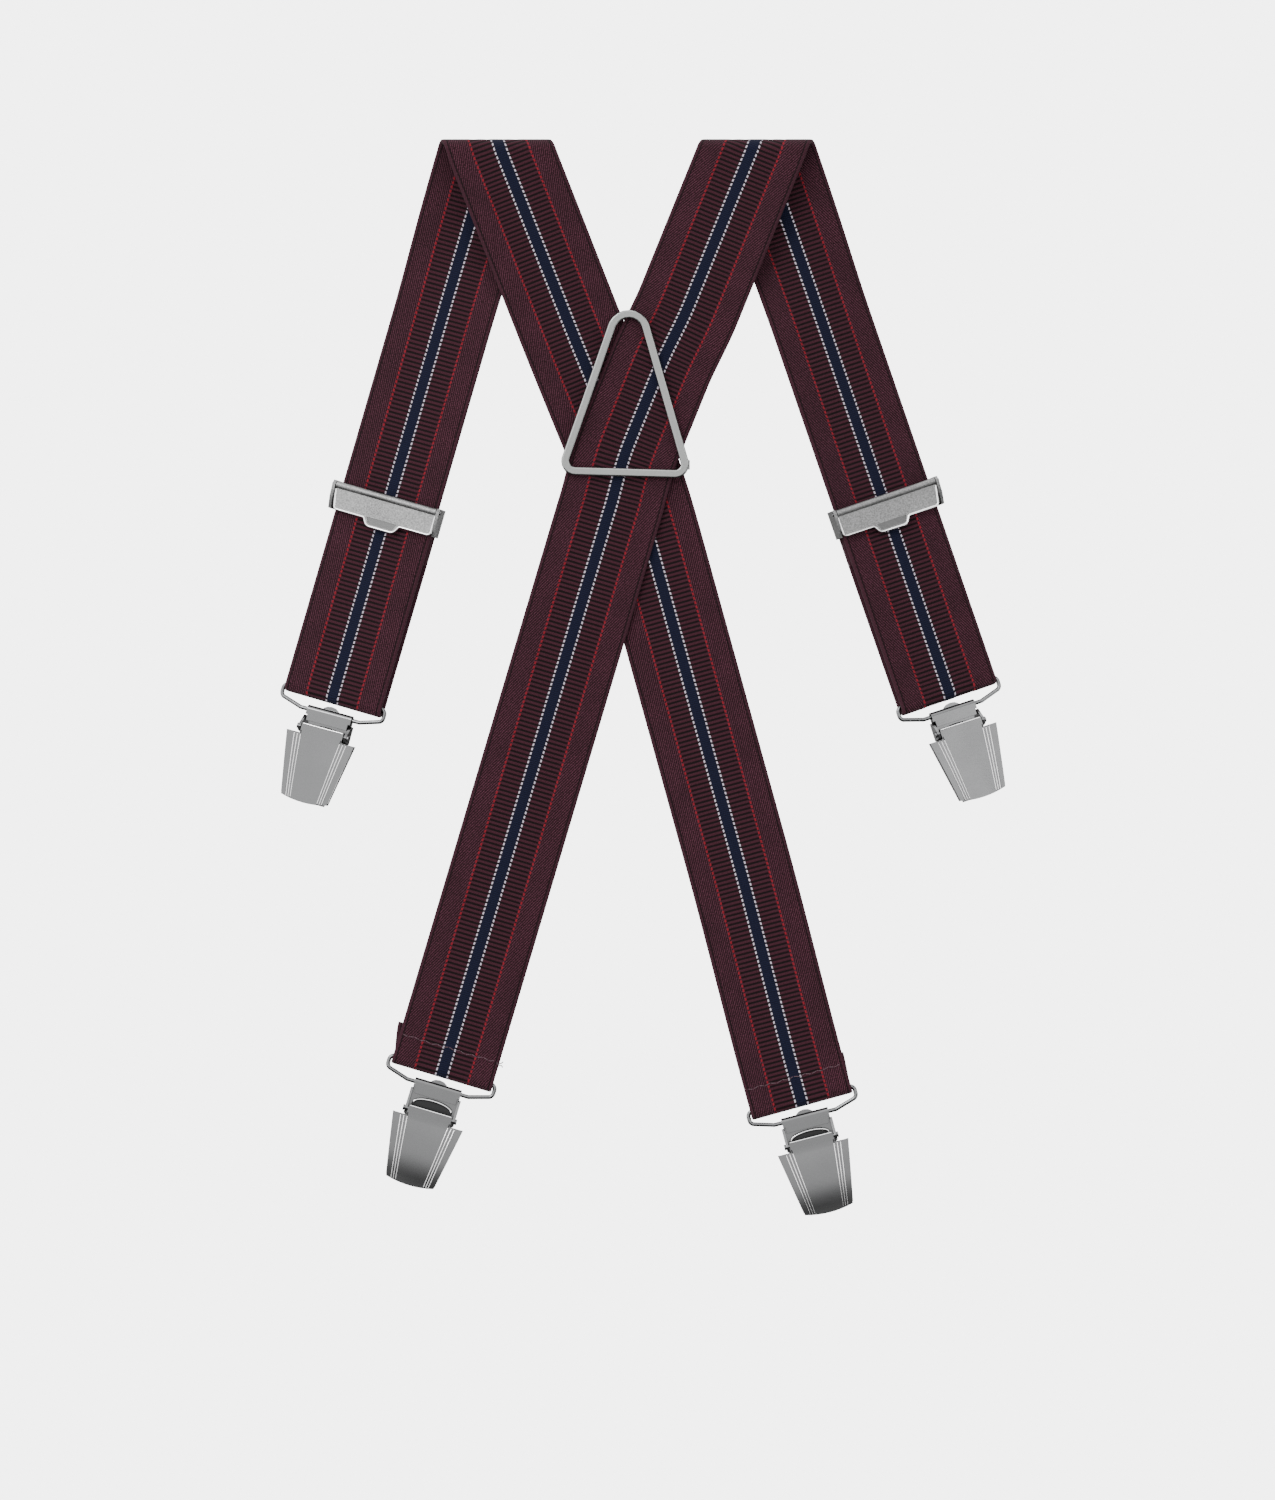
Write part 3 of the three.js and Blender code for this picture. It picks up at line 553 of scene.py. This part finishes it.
class Graph:
    """A small hand for laying out shader nodes."""

    def __init__(self, name):
        self.material = bpy.data.materials.new(name)
        self.material.use_nodes = True
        self.tree = self.material.node_tree
        self.tree.nodes.clear()
        self.output = self.node("ShaderNodeOutputMaterial")
        self.shader = self.node("ShaderNodeBsdfPrincipled")
        self.tree.links.new(self.shader.outputs[0], self.output.inputs[0])

    def node(self, kind, **settings):
        made = self.tree.nodes.new(kind)
        for key, value in settings.items():
            setattr(made, key, value)
        return made

    def feed(self, socket, value):
        if isinstance(value, bpy.types.NodeSocket):
            self.tree.links.new(value, socket)
        else:
            socket.default_value = value

    def math(self, operation, a, b=0.0, clamp=False):
        made = self.node("ShaderNodeMath", operation=operation, use_clamp=clamp)
        self.feed(made.inputs[0], a)
        self.feed(made.inputs[1], b)
        return made.outputs[0]

    def ramp(self, value, low, high, start=0.0, end=1.0):
        made = self.node("ShaderNodeMapRange", interpolation_type="SMOOTHSTEP")
        for socket, given in zip(made.inputs, (value, low, high, start, end)):
            self.feed(socket, given)
        return made.outputs[0]

    def band(self, value, low, high, soft):
        return self.math(
            "MULTIPLY", self.ramp(value, low - soft, low + soft),
            self.ramp(value, high - soft, high + soft, 1.0, 0.0))

    def mix(self, factor, a, b):
        made = self.node("ShaderNodeMix", data_type="RGBA")
        self.feed(made.inputs[0], factor)
        for socket, value in ((made.inputs[6], a), (made.inputs[7], b)):
            self.feed(socket, value if isinstance(value, bpy.types.NodeSocket) else (*value, 1))
        return made.outputs[2]

    def noise(self, vector, scale, detail=2.0, rough=0.5):
        made = self.node("ShaderNodeTexNoise")
        self.feed(made.inputs["Vector"], vector)
        made.inputs["Scale"].default_value = scale
        made.inputs["Detail"].default_value = detail
        made.inputs["Roughness"].default_value = rough
        return made.outputs["Fac"]

    def tint(self, colour, factor, low, high):
        """Multiplies a colour by a value that runs from low to high with factor."""
        value = self.ramp(factor, 0.25, 0.75, low, high)
        made = self.node("ShaderNodeMix", data_type="RGBA", blend_type="MULTIPLY")
        made.inputs[0].default_value = 1.0
        grey = self.node("ShaderNodeCombineColor")
        for socket in grey.inputs:
            self.feed(socket, value)
        self.feed(made.inputs[6], colour if isinstance(colour, bpy.types.NodeSocket) else (*colour, 1))
        self.feed(made.inputs[7], grey.outputs[0])
        return made.outputs[2]

    def bump(self, height, strength, distance):
        made = self.node("ShaderNodeBump")
        made.inputs["Strength"].default_value = strength
        made.inputs["Distance"].default_value = distance
        self.feed(made.inputs["Height"], height)
        return made.outputs[0]

    def finish(self, colour, roughness, normal=None, **constants):
        self.feed(self.shader.inputs["Base Color"], colour if isinstance(colour, bpy.types.NodeSocket)
                  else (*colour, 1))
        self.feed(self.shader.inputs["Roughness"], roughness)
        if normal:
            self.feed(self.shader.inputs["Normal"], normal)
        for key, value in constants.items():
            self.shader.inputs[key.replace("_", " ")].default_value = value
        return self.material


def webbing_material(settings):
    g = Graph("striped_elastic")
    uv = g.node("ShaderNodeUVMap", uv_map=WEAVE)
    split = g.node("ShaderNodeSeparateXYZ")
    g.feed(split.inputs[0], uv.outputs[0])
    u, v = split.outputs[0], split.outputs[1]
    mm_u, mm_v = g.math("MULTIPLY", u, WIDTH), g.math("MULTIPLY", v, WIDTH)
    off = g.math("ABSOLUTE", g.math("SUBTRACT", u, 0.5))
    ribs = g.math("DIVIDE", mm_v, settings.rib_pitch / MM)
    # crest runs from 0 in the groove to 1 on the crest: it blends the painted groove shade into the
    # lit crest colour, and it also raises the bump
    crest = g.ramp(g.math("COSINE", g.math("MULTIPLY", ribs, 2 * math.pi)), -0.75, 0.45)
    position = g.node("ShaderNodeCombineXYZ")
    for socket, value in zip(position.inputs, (mm_u, mm_v, 0.0)):
        g.feed(socket, value)
    here = position.outputs[0]
    wobble = g.math("MULTIPLY", g.noise(here, 0.9, 1.0), 2.2)
    lines = g.math("ADD", mm_u, g.math("MULTIPLY", mm_v, 0.62))
    rise = g.math("SINE", g.math("ADD", g.math("MULTIPLY", lines, 2 * math.pi / 0.92), wobble))
    fall = g.math("SINE", g.math("ADD", g.math("MULTIPLY", mm_v, 2 * math.pi / 0.78), wobble))
    cloth = g.math("MULTIPLY", rise, fall)
    grain = g.noise(here, 1.7, 2.0, 0.6)
    specks = g.ramp(g.math("ADD", cloth, g.math("MULTIPLY", g.math("SUBTRACT", grain, 0.5), 2.5)),
                    0.12, 0.62)
    ground = g.mix(specks, tuple(settings.ground), tuple(settings.speck))
    ground = g.tint(ground, g.noise(here, 0.06, 1.0), 0.86, 1.12)
    threads = g.noise(here, 3.2, 1.0)
    # painted light and shade of the ribs: lit crests over darker painted shade in the grooves
    lit_crest_colour = g.tint(tuple(settings.lit_crest_yarn), threads, 0.75, 1.25)
    rib = g.mix(crest, tuple(settings.groove_shade_and_dark_lines), lit_crest_colour)
    navy = g.tint(tuple(settings.navy), g.ramp(fall, -1, 1), 0.7, 1.35)
    slant = g.math("ADD", ribs, g.math("MULTIPLY", off, 6.0))
    cycle = g.math("FRACT", slant)
    dash = g.band(cycle, 0.18, 0.74, 0.08)
    red_dash = g.band(g.math("FRACT", g.math("ADD", slant, 0.2)), 0.14, 0.76, 0.09)
    is_rib = g.band(off, 0.066, 0.256, 0.002)
    is_navy = g.ramp(off, 0.047, 0.051, 1.0, 0.0)
    is_white = g.math("MULTIPLY", g.band(off, 0.0505, 0.0648, 0.0025), dash)
    is_red = g.math("MULTIPLY", g.band(off, 0.2560, 0.2735, 0.003), red_dash)
    under = g.band(off, 0.0475, 0.067, 0.002)
    edge_dark = g.band(off, 0.456, 0.470, 0.003)
    edge_light = g.ramp(off, 0.471, 0.477)
    colour = g.mix(is_rib, ground, rib)
    colour = g.mix(is_navy, colour, navy)
    # the band under the light stitch line takes the same dark colour as the painted groove shade
    colour = g.mix(under, colour, tuple(settings.groove_shade_and_dark_lines))
    colour = g.mix(is_white, colour, g.tint(tuple(settings.white), threads, 0.85, 1.1))
    colour = g.mix(is_red, colour, g.tint(tuple(settings.red), threads, 0.8, 1.2))
    colour = g.mix(g.math("MULTIPLY", edge_dark, 0.85), colour, tuple(settings.groove_shade_and_dark_lines))
    selvedge = g.mix(0.32, tuple(settings.ground), tuple(settings.speck))
    colour = g.mix(g.math("MULTIPLY", edge_light, 0.85), colour, selvedge)
    height = g.math("MULTIPLY", is_rib, g.math("MULTIPLY", crest, 0.5))
    height = g.math("ADD", height, g.math("MULTIPLY", cloth, 0.22))
    height = g.math("ADD", height, g.math("MULTIPLY", g.math("ADD", is_white, is_red), 0.5))
    rough = g.ramp(grain, 0.2, 0.8, 0.78, 0.93)
    return g.finish(
        colour, rough, g.bump(height, 0.55, 0.25 * MM),
        Sheen_Weight=0.04, Sheen_Roughness=0.5, Specular_IOR_Level=0.14)


def metal_material(name, colour, low, high, grain=1400.0, grain_strength=0.08, tone=0.06,
                   scratch=0.0):
    g = Graph(name)
    here = g.node("ShaderNodeTexCoord").outputs["Object"]
    fine = g.noise(here, grain, 3.0, 0.6)
    broad = g.noise(here, 60.0, 2.0)
    marks = g.node("ShaderNodeMapping")
    g.feed(marks.inputs["Vector"], here)
    marks.inputs["Rotation"].default_value = (0, 0.3, 0)
    marks.inputs["Scale"].default_value = (260.0, 260.0, 6000.0)
    scratches = g.noise(marks.outputs[0], 1.0, 2.0)
    shade = g.tint(tuple(colour), fine, 1 - tone, 1 + tone)
    shade = g.tint(shade, broad, 1 - tone / 2, 1 + tone / 2)
    rough = g.math("ADD", g.ramp(broad, 0.3, 0.7, low, high),
                   g.math("MULTIPLY", g.ramp(scratches, 0.55, 0.8), scratch))
    return g.finish(shade, rough, g.bump(fine, grain_strength, 0.1 * MM), Metallic=1.0)


def thread_material(name, colour):
    g = Graph(name)
    here = g.node("ShaderNodeTexCoord").outputs["Object"]
    twist = g.node("ShaderNodeTexWave", wave_type="BANDS", bands_direction="DIAGONAL")
    g.feed(twist.inputs["Vector"], here)
    twist.inputs["Scale"].default_value = 900.0
    shade = g.tint(tuple(colour), twist.outputs["Fac"], 0.7, 1.2)
    return g.finish(shade, g.ramp(g.noise(here, 900.0), 0.2, 0.8, 0.6, 0.85),
                    g.bump(twist.outputs["Fac"], 0.4, 0.1 * MM), Sheen_Weight=0.2)


def plain_material(name, colour, roughness):
    g = Graph(name)
    here = g.node("ShaderNodeTexCoord").outputs["Object"]
    return g.finish(g.tint(colour, g.noise(here, 3.0), 0.985, 1.015), roughness)


def studio_world(brightness):
    """A white room for the eye, with darker sides and a dark floor line for the metal."""
    world = bpy.data.worlds.new("pale_room")
    world.use_nodes = True
    tree = world.node_tree
    tree.nodes.clear()

    def node(kind, **settings):
        made = tree.nodes.new(kind)
        for key, value in settings.items():
            setattr(made, key, value)
        return made

    def ramp(value, low, high, start, end):
        made = node("ShaderNodeMapRange", interpolation_type="SMOOTHSTEP")
        tree.links.new(value, made.inputs[0])
        for socket, given in zip(made.inputs[1:5], (low, high, start, end)):
            socket.default_value = given
        return made.outputs[0]

    def product(a, b):
        made = node("ShaderNodeMath", operation="MULTIPLY")
        tree.links.new(a, made.inputs[0])
        tree.links.new(b, made.inputs[1])
        return made.outputs[0]

    split = node("ShaderNodeSeparateXYZ")
    tree.links.new(node("ShaderNodeTexCoord").outputs["Generated"], split.inputs[0])
    x, y, z = split.outputs
    left = ramp(x, -0.95, -0.2, 1.7, 1.0)
    right = ramp(x, 0.2, 0.6, 1.0, 0.12)
    below = ramp(z, -0.5, -0.06, 0.05, 1.0)
    above = ramp(z, 0.15, 0.75, 1.0, 1.5)
    front = ramp(y, -0.6, 0.1, 2.3, 0.7)
    level = product(product(product(left, right), product(below, above)), front)
    strip = product(ramp(x, 0.66, 0.72, 0.0, 2.2), ramp(x, 0.84, 0.9, 1.0, 0.0))
    total = node("ShaderNodeMath", operation="ADD")
    tree.links.new(level, total.inputs[0])
    tree.links.new(strip, total.inputs[1])
    level = total.outputs[0]
    room = node("ShaderNodeBackground")
    tree.links.new(level, room.inputs["Strength"])
    seen = node("ShaderNodeBackground")
    seen.inputs["Strength"].default_value = brightness
    mix = node("ShaderNodeMixShader")
    tree.links.new(node("ShaderNodeLightPath").outputs["Is Camera Ray"], mix.inputs[0])
    tree.links.new(room.outputs[0], mix.inputs[1])
    tree.links.new(seen.outputs[0], mix.inputs[2])
    tree.links.new(mix.outputs[0], node("ShaderNodeOutputWorld").inputs[0])
    return world


_made = {}


def material(name):
    """Each finish is made once, when a piece first asks for it."""
    if name in _made:
        return _made[name]
    metal = bpy.context.scene.suspenders_metal
    makers = {
        "webbing": lambda: webbing_material(bpy.context.scene.suspenders_webbing),
        "ring": lambda: metal_material("satin_ring", metal.ring, 0.26, 0.36, tone=0.08),
        "satin": lambda: metal_material(
            "blasted_adjuster", metal.satin, 0.42, 0.55, grain=1700.0, grain_strength=0.6,
            tone=0.34),
        "chrome": lambda: metal_material(
            "polished_clip", metal.chrome, 0.17, 0.24, grain_strength=0.02, tone=0.03,
            scratch=0.08),
        # painted highlight: a near-white copy of the polished metal for the thin bright lines
        "bright": lambda: metal_material("painted_highlight_metal", metal.bright, 0.12, 0.2, tone=0.03),
        "hollow": lambda: metal_material(
            "shaded_jaw", [0.22 * c for c in metal.chrome], 0.3, 0.4, grain_strength=0.02,
            tone=0.05),
        "steel": lambda: metal_material(
            "plated_wire", metal.steel, 0.18, 0.26, grain_strength=0.01, tone=0.03),
        # painted shade: a darker copy of the adjuster metal for the plate in the tab's dish
        "dish": lambda: metal_material(
            "dish_painted_shade", [0.55 * c for c in metal.satin], 0.4, 0.5, grain=1900.0,
            grain_strength=0.2, tone=0.08),
        "thread": lambda: thread_material("sewing_thread", (0.055, 0.018, 0.030)),
        "loose_thread": lambda: thread_material("light_thread", (0.03, 0.010, 0.016)),
    }
    _made[name] = makers[name]()
    return _made[name]


# ---------- pieces ----------


def point_of(run, a, s, h=0.0):
    return Vector(run.place(np.array([a]), np.array([s]), np.array([h]))[0]) * MM


def stitch_lines(run, s, h, phase=0.0, pitch=2.3, tilt=0.55, inset=1.4):
    """Short threads across the webbing at s, each standing a little off the face."""
    lines = []
    side = 1 if h > 0 else -1
    for i in range(int((WIDTH - 2 * inset) / pitch)):
        a = -HALF + inset + pitch * (i + phase)
        lean = tilt if i % 2 else -tilt
        marks = [(0.0, 0.25), (0.3, 0.02), (0.5, -0.05), (0.7, 0.02), (1.0, 0.25)]
        lines.append([
            point_of(run, a + pitch * 0.86 * t, s + lean * (t - 0.5) + 0.12 * math.sin(7.3 * i),
                     h - side * sink) for t, sink in marks])
    return lines


class SUSPENDERS_OT_webbing(bpy.types.Operator):
    """Build both straps: back run, front run, and the loop sewn round the adjuster"""

    bl_idname = "suspenders.webbing"
    bl_label = "Webbing"

    def execute(self, context):
        settings = context.scene.suspenders_webbing
        cloth = material("webbing")
        for name, side in SIDES.items():
            run = HangingRun(side)
            hem = PlanarRun(hem_path(), loop_frame(side, False), side["lean"])
            loop = PlanarRun(return_path(side), loop_frame(side, True))
            back = webbing(f"strap_{name}_back", [(hem, 0.0, hem.length), (run, 0.0, run.split)],
                           settings, cloth)
            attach(back, "straps")
            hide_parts(f"strap_{name}_main", f"strap_{name}_hem")
            start = hem.length
            front = webbing(f"strap_{name}_front", [(run, run.split, run.length)], settings, cloth,
                            start)
            foot, head = point_of(run, 0, run.length), point_of(run, 0, run.split)
            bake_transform(front)
            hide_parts(f"strap_{name}_lower")
            tail = webbing(f"strap_{name}_loop", [(loop, 0.0, loop.length)], settings, cloth,
                           start + run.length)
            local = loop_frame(side, True)
            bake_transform(tail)
            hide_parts(f"strap_{name}_return", f"strap_{name}_tail", f"strap_{name}_end_loop")
        return {"FINISHED"}


class SUSPENDERS_OT_stitches(bpy.types.Operator):
    """Sew the back hems and the tails round the adjusters"""

    bl_idname = "suspenders.stitches"
    bl_label = "Stitches"

    def execute(self, context):
        thread = material("thread")
        proud = THICK / 2 + 0.1
        for name, side in SIDES.items():
            run = HangingRun(side)
            hem = PlanarRun(hem_path(), loop_frame(side, False), side["lean"])
            loop = PlanarRun(return_path(side), loop_frame(side, True))
            seam = 11.8 - LOOP_OUT - LOOP_LEG
            lines = stitch_lines(run, seam, proud) + stitch_lines(hem, 1.2 + 1.6, proud)
            tube(f"hem_stitches_{name}", lines, STITCH_R * MM, thread, "straps",
                 resolution=2)
            low = loop.length - 1.8
            span = loop.length - 2 * TAIL_LENGTH - math.pi * TAIL_R + 1.8
            lines = stitch_lines(loop, low, proud) + stitch_lines(loop, span, -proud)
            tube(f"tail_stitches_{name}", lines, STITCH_R * MM, thread, f"adjuster_{name}",
                 resolution=2)
        end = HangingRun(SIDES["right"])
        curls = [
            [(19.0, 3.6, 0.9), (19.9, 3.4, 1.3), (20.7, 3.9, 1.4), (21.2, 4.6, 1.0)],
            [(19.1, 3.3, 0.9), (20.2, 2.9, 1.4), (21.1, 3.1, 1.2), (21.6, 2.5, 0.8)],
        ]
        lines = [[point_of(end, a, s, h) for a, s, h in curl] for curl in curls]
        tube("loose_thread_end", lines, LOOSE_END_R * MM, material("loose_thread"), "straps",
             resolution=2)
        return {"FINISHED"}


def tuck_posts(bm):
    """Keeps the rear frame's posts inside the front frame's outline."""
    for vert in bm.verts:
        x, y, z = (c / MM for c in vert.co)
        if not POST_LOW < z < POST_HIGH:
            continue
        reach = POST_REACH if y < POST_BEND else POST_REACH + POST_EXTRA
        off = x - RING_X
        if abs(off) > reach:
            vert.co.x = (RING_X + math.copysign(reach, off)) * MM


class SUSPENDERS_OT_ring(bpy.types.Operator):
    """Round off the triangular ring"""

    bl_idname = "suspenders.ring"
    bl_label = "Ring"

    def execute(self, context):
        settings = context.scene.suspenders_metal
        refined("ring_front", material("ring"), "straps", settings, edge=4.2, segments=4)
        refined("ring_rear", material("ring"), "straps", settings, edge=1.0,
                shape=tuck_posts)
        return {"FINISHED"}


def lever_outline(out):
    """The lever's lower edge with its thumb tab, from the outer side to the inner one."""
    a, b = out * 21.4, -out * 20.1
    half = [(7.6, -5.3), (7.1, -5.7), (6.6, -6.6), (6.0, -7.5), (5.2, -8.1), (4.3, -8.3)]
    tab = [(out * u, v) for u, v in half] + [(-out * u, v) for u, v in reversed(half)]
    return [(a, 2.2), (a - out * 1.3, -4.3), (a - out * 1.7, -5.0), (a - out * 2.4, -5.3), *tab,
            (b + out * 1.2, -5.3), (b + out * 0.3, -4.9), (b, -4.2), (b, 2.2)]


def dish_outline(out):
    """The raised pad on the thumb tab, darker than the lever: painted shade in the tab's dish."""
    return [(out * 6.3, -4.9), (out * 5.1, -7.2), (out * 4.5, -7.5), (-out * 4.5, -7.5),
            (-out * 5.1, -7.2), (-out * 6.3, -4.9)]


class SUSPENDERS_OT_adjusters(bpy.types.Operator):
    """Round off both cam-lever adjusters"""

    bl_idname = "suspenders.adjusters"
    bl_label = "Adjusters"

    def execute(self, context):
        settings = context.scene.suspenders_metal
        for name in SIDES:
            body = f"adjuster_{name}"
            refined(f"adjuster_{name}_frame", material("satin"), body, settings, edge=1.6)
            refined(f"adjuster_{name}_lever", material("satin"), body + "_lever", settings,
                    edge=1.4)
            refined(f"adjuster_{name}_pin", material("steel"), body, settings)
            local = run_frame(SIDES[name], True, SIDES[name]["adjuster_z"])
            out = SIDES[name]["out"]
            # a painted highlight line round the lever's lower edge and thumb tab
            edge = [(local @ Vector((u, v, EDGE_N))) * MM for u, v in lever_outline(out)]
            tube(f"adjuster_{name}_edge", [edge], EDGE_R * MM, material("bright"), body + "_lever")
            # the dish plate is painted shade: darker metal where the tab's recess falls in shade
            bm = bmesh.new()
            base = [bm.verts.new((local @ Vector((u, v, DISH_N))) * MM)
                    for u, v in dish_outline(out)]
            made = bmesh.ops.contextual_create(bm, geom=base)
            made = bmesh.ops.extrude_face_region(bm, geom=made["faces"])
            lift = local.to_3x3() @ Vector((0, 0, DISH_RISE)) * MM
            raised = [v for v in made["geom"] if isinstance(v, bmesh.types.BMVert)]
            bmesh.ops.translate(bm, verts=raised, vec=lift)
            bmesh.ops.recalc_face_normals(bm, faces=bm.faces)
            mesh_object(f"adjuster_{name}_dish", bm, material("dish"), body + "_lever")
        return {"FINISHED"}


def bail_outline():
    """The wire bail's closed path, from its loop bar down to the clip's neck."""
    c = BAIL_CORNER
    right = [
        *turn_of((BAIL_HALF - c, -c), c, 90, 0, 10),
        *turn_of((BAIL_HALF - c, -c - BAIL_SIDE), c, 0, -63, 10),
        *turn_of((BAIL_NECK + 2.2, -BAIL_DROP + 2.6), 2.6, -66, -90, 5),
        (BAIL_NECK - 0.4, -BAIL_DROP)]
    return right + [(-u, v) for u, v in reversed(right)]


def lid_shoulder(drop):
    """The height where a lid widens below its neck."""
    return LID_TOP - drop - LID_SHOULDER


def lid_rise(v, drop):
    """How far a lid's face stands off its flat plate at a height on the clip."""
    top = lid_shoulder(drop)
    t = (top - v) / LID_RUN
    crown = 1.7 if drop else 0.3
    return crown * math.sin(math.pi * min(max(t, 0.0), 1.0)) if 0 < t < 1 else 0.0


def lid_bulge(local, drop):
    """Gives a lid's flat plate its slight crown along the clip."""
    top = lid_shoulder(drop)
    inverse = local.inverted()

    def shape(bm):
        normal = local.to_3x3() @ Vector((0, 1, 0))
        for k in range(16):
            place = (local @ Vector((0, top - LID_RUN * k / 16, 0))) * MM
            bmesh.ops.bisect_plane(
                bm, geom=[*bm.verts, *bm.edges, *bm.faces], dist=1e-6, plane_co=place,
                plane_no=normal)
        out = local.to_3x3() @ Vector((0, 0, 1))
        for vert in bm.verts:
            at = inverse @ (vert.co / MM)
            if at.z > LID_N - 0.6:
                vert.co += out * (MM * lid_rise(at.y, drop))
    return shape


def flank_lines(local, drop):
    """The rolled edges down both sides of a lid, drawn as painted highlight lines."""
    top = lid_shoulder(drop)
    lines = []
    for side in (-1, 1):
        line = []
        for k in range(15):
            t = 0.03 + 0.9 * k / 14
            v = top - LID_RUN * t
            u = side * (13.72 - 4.5 * t)
            line.append((local @ Vector((u, v, LID_N + 0.5 + lid_rise(v, drop)))) * MM)
        lines.append(line)
    return lines


def arch_points():
    """The rolled rim of the jaw's arch, which shows above a lowered lid as a painted highlight line.
    """
    crown = -11.6 - GAP - 0.2
    half, rise = 7.5, 2.3
    angles = np.linspace(math.pi, 0, 17)
    return [(half * math.cos(t), crown - 0.5 - rise + rise * math.sin(t), 1.15) for t in angles]


def lid_lines(local, drop):
    """The pressed ridges of a lid, as point lists; they are drawn as painted highlight lines."""
    top = lid_shoulder(drop)
    lines = []
    for wide, narrow, sink in LID_RIDGES:
        for side in (-1, 1):
            line = []
            for k in range(15):
                t = 0.02 + 0.955 * k / 14
                v = top - LID_RUN * t
                u = side * (wide + (narrow - wide) * t)
                line.append((local @ Vector((u, v, LID_N + 0.8 - sink + lid_rise(v, drop)))) * MM)
            lines.append(line)
    return lines


class SUSPENDERS_OT_clips(bpy.types.Operator):
    """Build the four clips with their wire bails"""

    bl_idname = "suspenders.clips"
    bl_label = "Clips"

    def execute(self, context):
        settings = context.scene.suspenders_metal
        chrome, steel = material("chrome"), material("steel")
        for name, clip in CLIPS.items():
            base = f"clip_{name}"
            local = loop_frame(SIDES[clip["side"]], clip["front"], clip["turn"])
            ring = [(local @ Vector((u, v, 0))) * MM for u, v in bail_outline()]
            bail = tube(f"{base}_wire", [ring], WIRE_R * MM, steel, base + "_bail",
                        cyclic=True)
            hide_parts(base + "_bail")
            refined(base + "_body", chrome, base + "_body", settings, edge=1.3)
            refined(base + "_lid", chrome, base + "_lid", settings, edge=0.7,
                    shape=lid_bulge(local, clip["drop"]))
            # ridges, flanks, lip and jaw rim are painted highlight lines in near-white metal
            tube(base + "_ridges", lid_lines(local, clip["drop"]), RIDGE_R * MM, material("bright"),
                 base + "_lid", resolution=3)
            tube(base + "_flanks", flank_lines(local, clip["drop"]), FLANK_R * MM,
                 material("bright"), base + "_lid", resolution=3)
            lip = [(local @ Vector((u, LID_TOP - clip["drop"] - LIP_R, LIP_N))) * MM
                   for u in np.linspace(-LIP_HALF, LIP_HALF, 9)]
            tube(base + "_lip", [lip], LIP_R * MM, material("bright"), base + "_lid")
            refined(base + "_jaw", material("hollow"), base + "_jaw", settings)
            if clip["drop"]:
                arch = [(local @ Vector(p)) * MM for p in arch_points()]
                tube(base + "_jaw_rim", [arch], ARCH_R * MM, material("bright"), base + "_jaw")
            refined(base + "_pin", steel, base + "_body", settings, edge=1.2)
        return {"FINISHED"}


class SUSPENDERS_OT_stage(bpy.types.Operator):
    """Lay the pale floor, set the soft lights and aim the camera"""

    bl_idname = "suspenders.stage"
    bl_label = "Stage"

    def execute(self, context):
        settings = context.scene.suspenders_stage
        scene = context.scene
        bm = bmesh.new()
        bmesh.ops.create_circle(bm, cap_ends=True, segments=96, radius=FLOOR_RADIUS)
        bmesh.ops.translate(bm, verts=bm.verts, vec=(0, 0, settings.floor_drop))
        floor = mesh_object("floor", bm, plain_material("pale_floor", (0.9, 0.9, 0.9), 0.85))
        floor.visible_glossy = False
        scene.world = studio_world(settings.backdrop)
        aim = Vector(LAMP_AIM)
        for name, place, size, power in LAMPS:
            lamp = bpy.data.lights.new(name, "AREA")
            lamp.shape, lamp.size, lamp.energy = "SQUARE", size, power
            obj = bpy.data.objects.new(name, lamp)
            obj.location = place
            obj.rotation_euler = (aim - Vector(place)).to_track_quat("-Z", "Y").to_euler()
            scene.collection.objects.link(obj)
        camera = bpy.data.cameras.new("camera")
        camera.sensor_fit = "VERTICAL"
        camera.sensor_height = 24.0
        camera.lens = settings.distance * camera.sensor_height / settings.frame_height
        camera.clip_end = 50.0
        view = bpy.data.objects.new("camera", camera)
        view.location = (VIEW_X, -settings.distance, VIEW_Z)
        view.rotation_euler = (math.pi / 2, 0, 0)
        scene.collection.objects.link(view)
        scene.camera = view
        return {"FINISHED"}


class SUSPENDERS_PT_panel(bpy.types.Panel):
    bl_label = "Suspenders"
    bl_idname = "SUSPENDERS_PT_panel"
    bl_space_type = "VIEW_3D"
    bl_region_type = "UI"
    bl_category = "Suspenders"

    def draw(self, context):
        scene = context.scene
        for group in (scene.suspenders_webbing, scene.suspenders_metal, scene.suspenders_stage):
            box = self.layout.box()
            for key in group.__annotations__:
                box.prop(group, key)
        for operator in OPERATORS:
            self.layout.operator(operator.bl_idname)


GROUPS = {
    "suspenders_webbing": SuspendersWebbing,
    "suspenders_metal": SuspendersMetal,
    "suspenders_stage": SuspendersStage,
}
OPERATORS = (
    SUSPENDERS_OT_stage, SUSPENDERS_OT_ring, SUSPENDERS_OT_adjusters, SUSPENDERS_OT_clips,
    SUSPENDERS_OT_webbing, SUSPENDERS_OT_stitches,
)


def register():
    for cls in (*GROUPS.values(), *OPERATORS, SUSPENDERS_PT_panel):
        bpy.utils.register_class(cls)
    for name, group in GROUPS.items():
        setattr(bpy.types.Scene, name, PointerProperty(type=group))


def unregister():
    for name in GROUPS:
        delattr(bpy.types.Scene, name)
    for cls in reversed((*GROUPS.values(), *OPERATORS, SUSPENDERS_PT_panel)):
        bpy.utils.unregister_class(cls)


def main():
    register()
    for operator in OPERATORS:
        group, name = operator.bl_idname.split(".")
        getattr(getattr(bpy.ops, group), name)()
    bpy.context.view_layer.update()


if __name__ == "__main__":
    main()
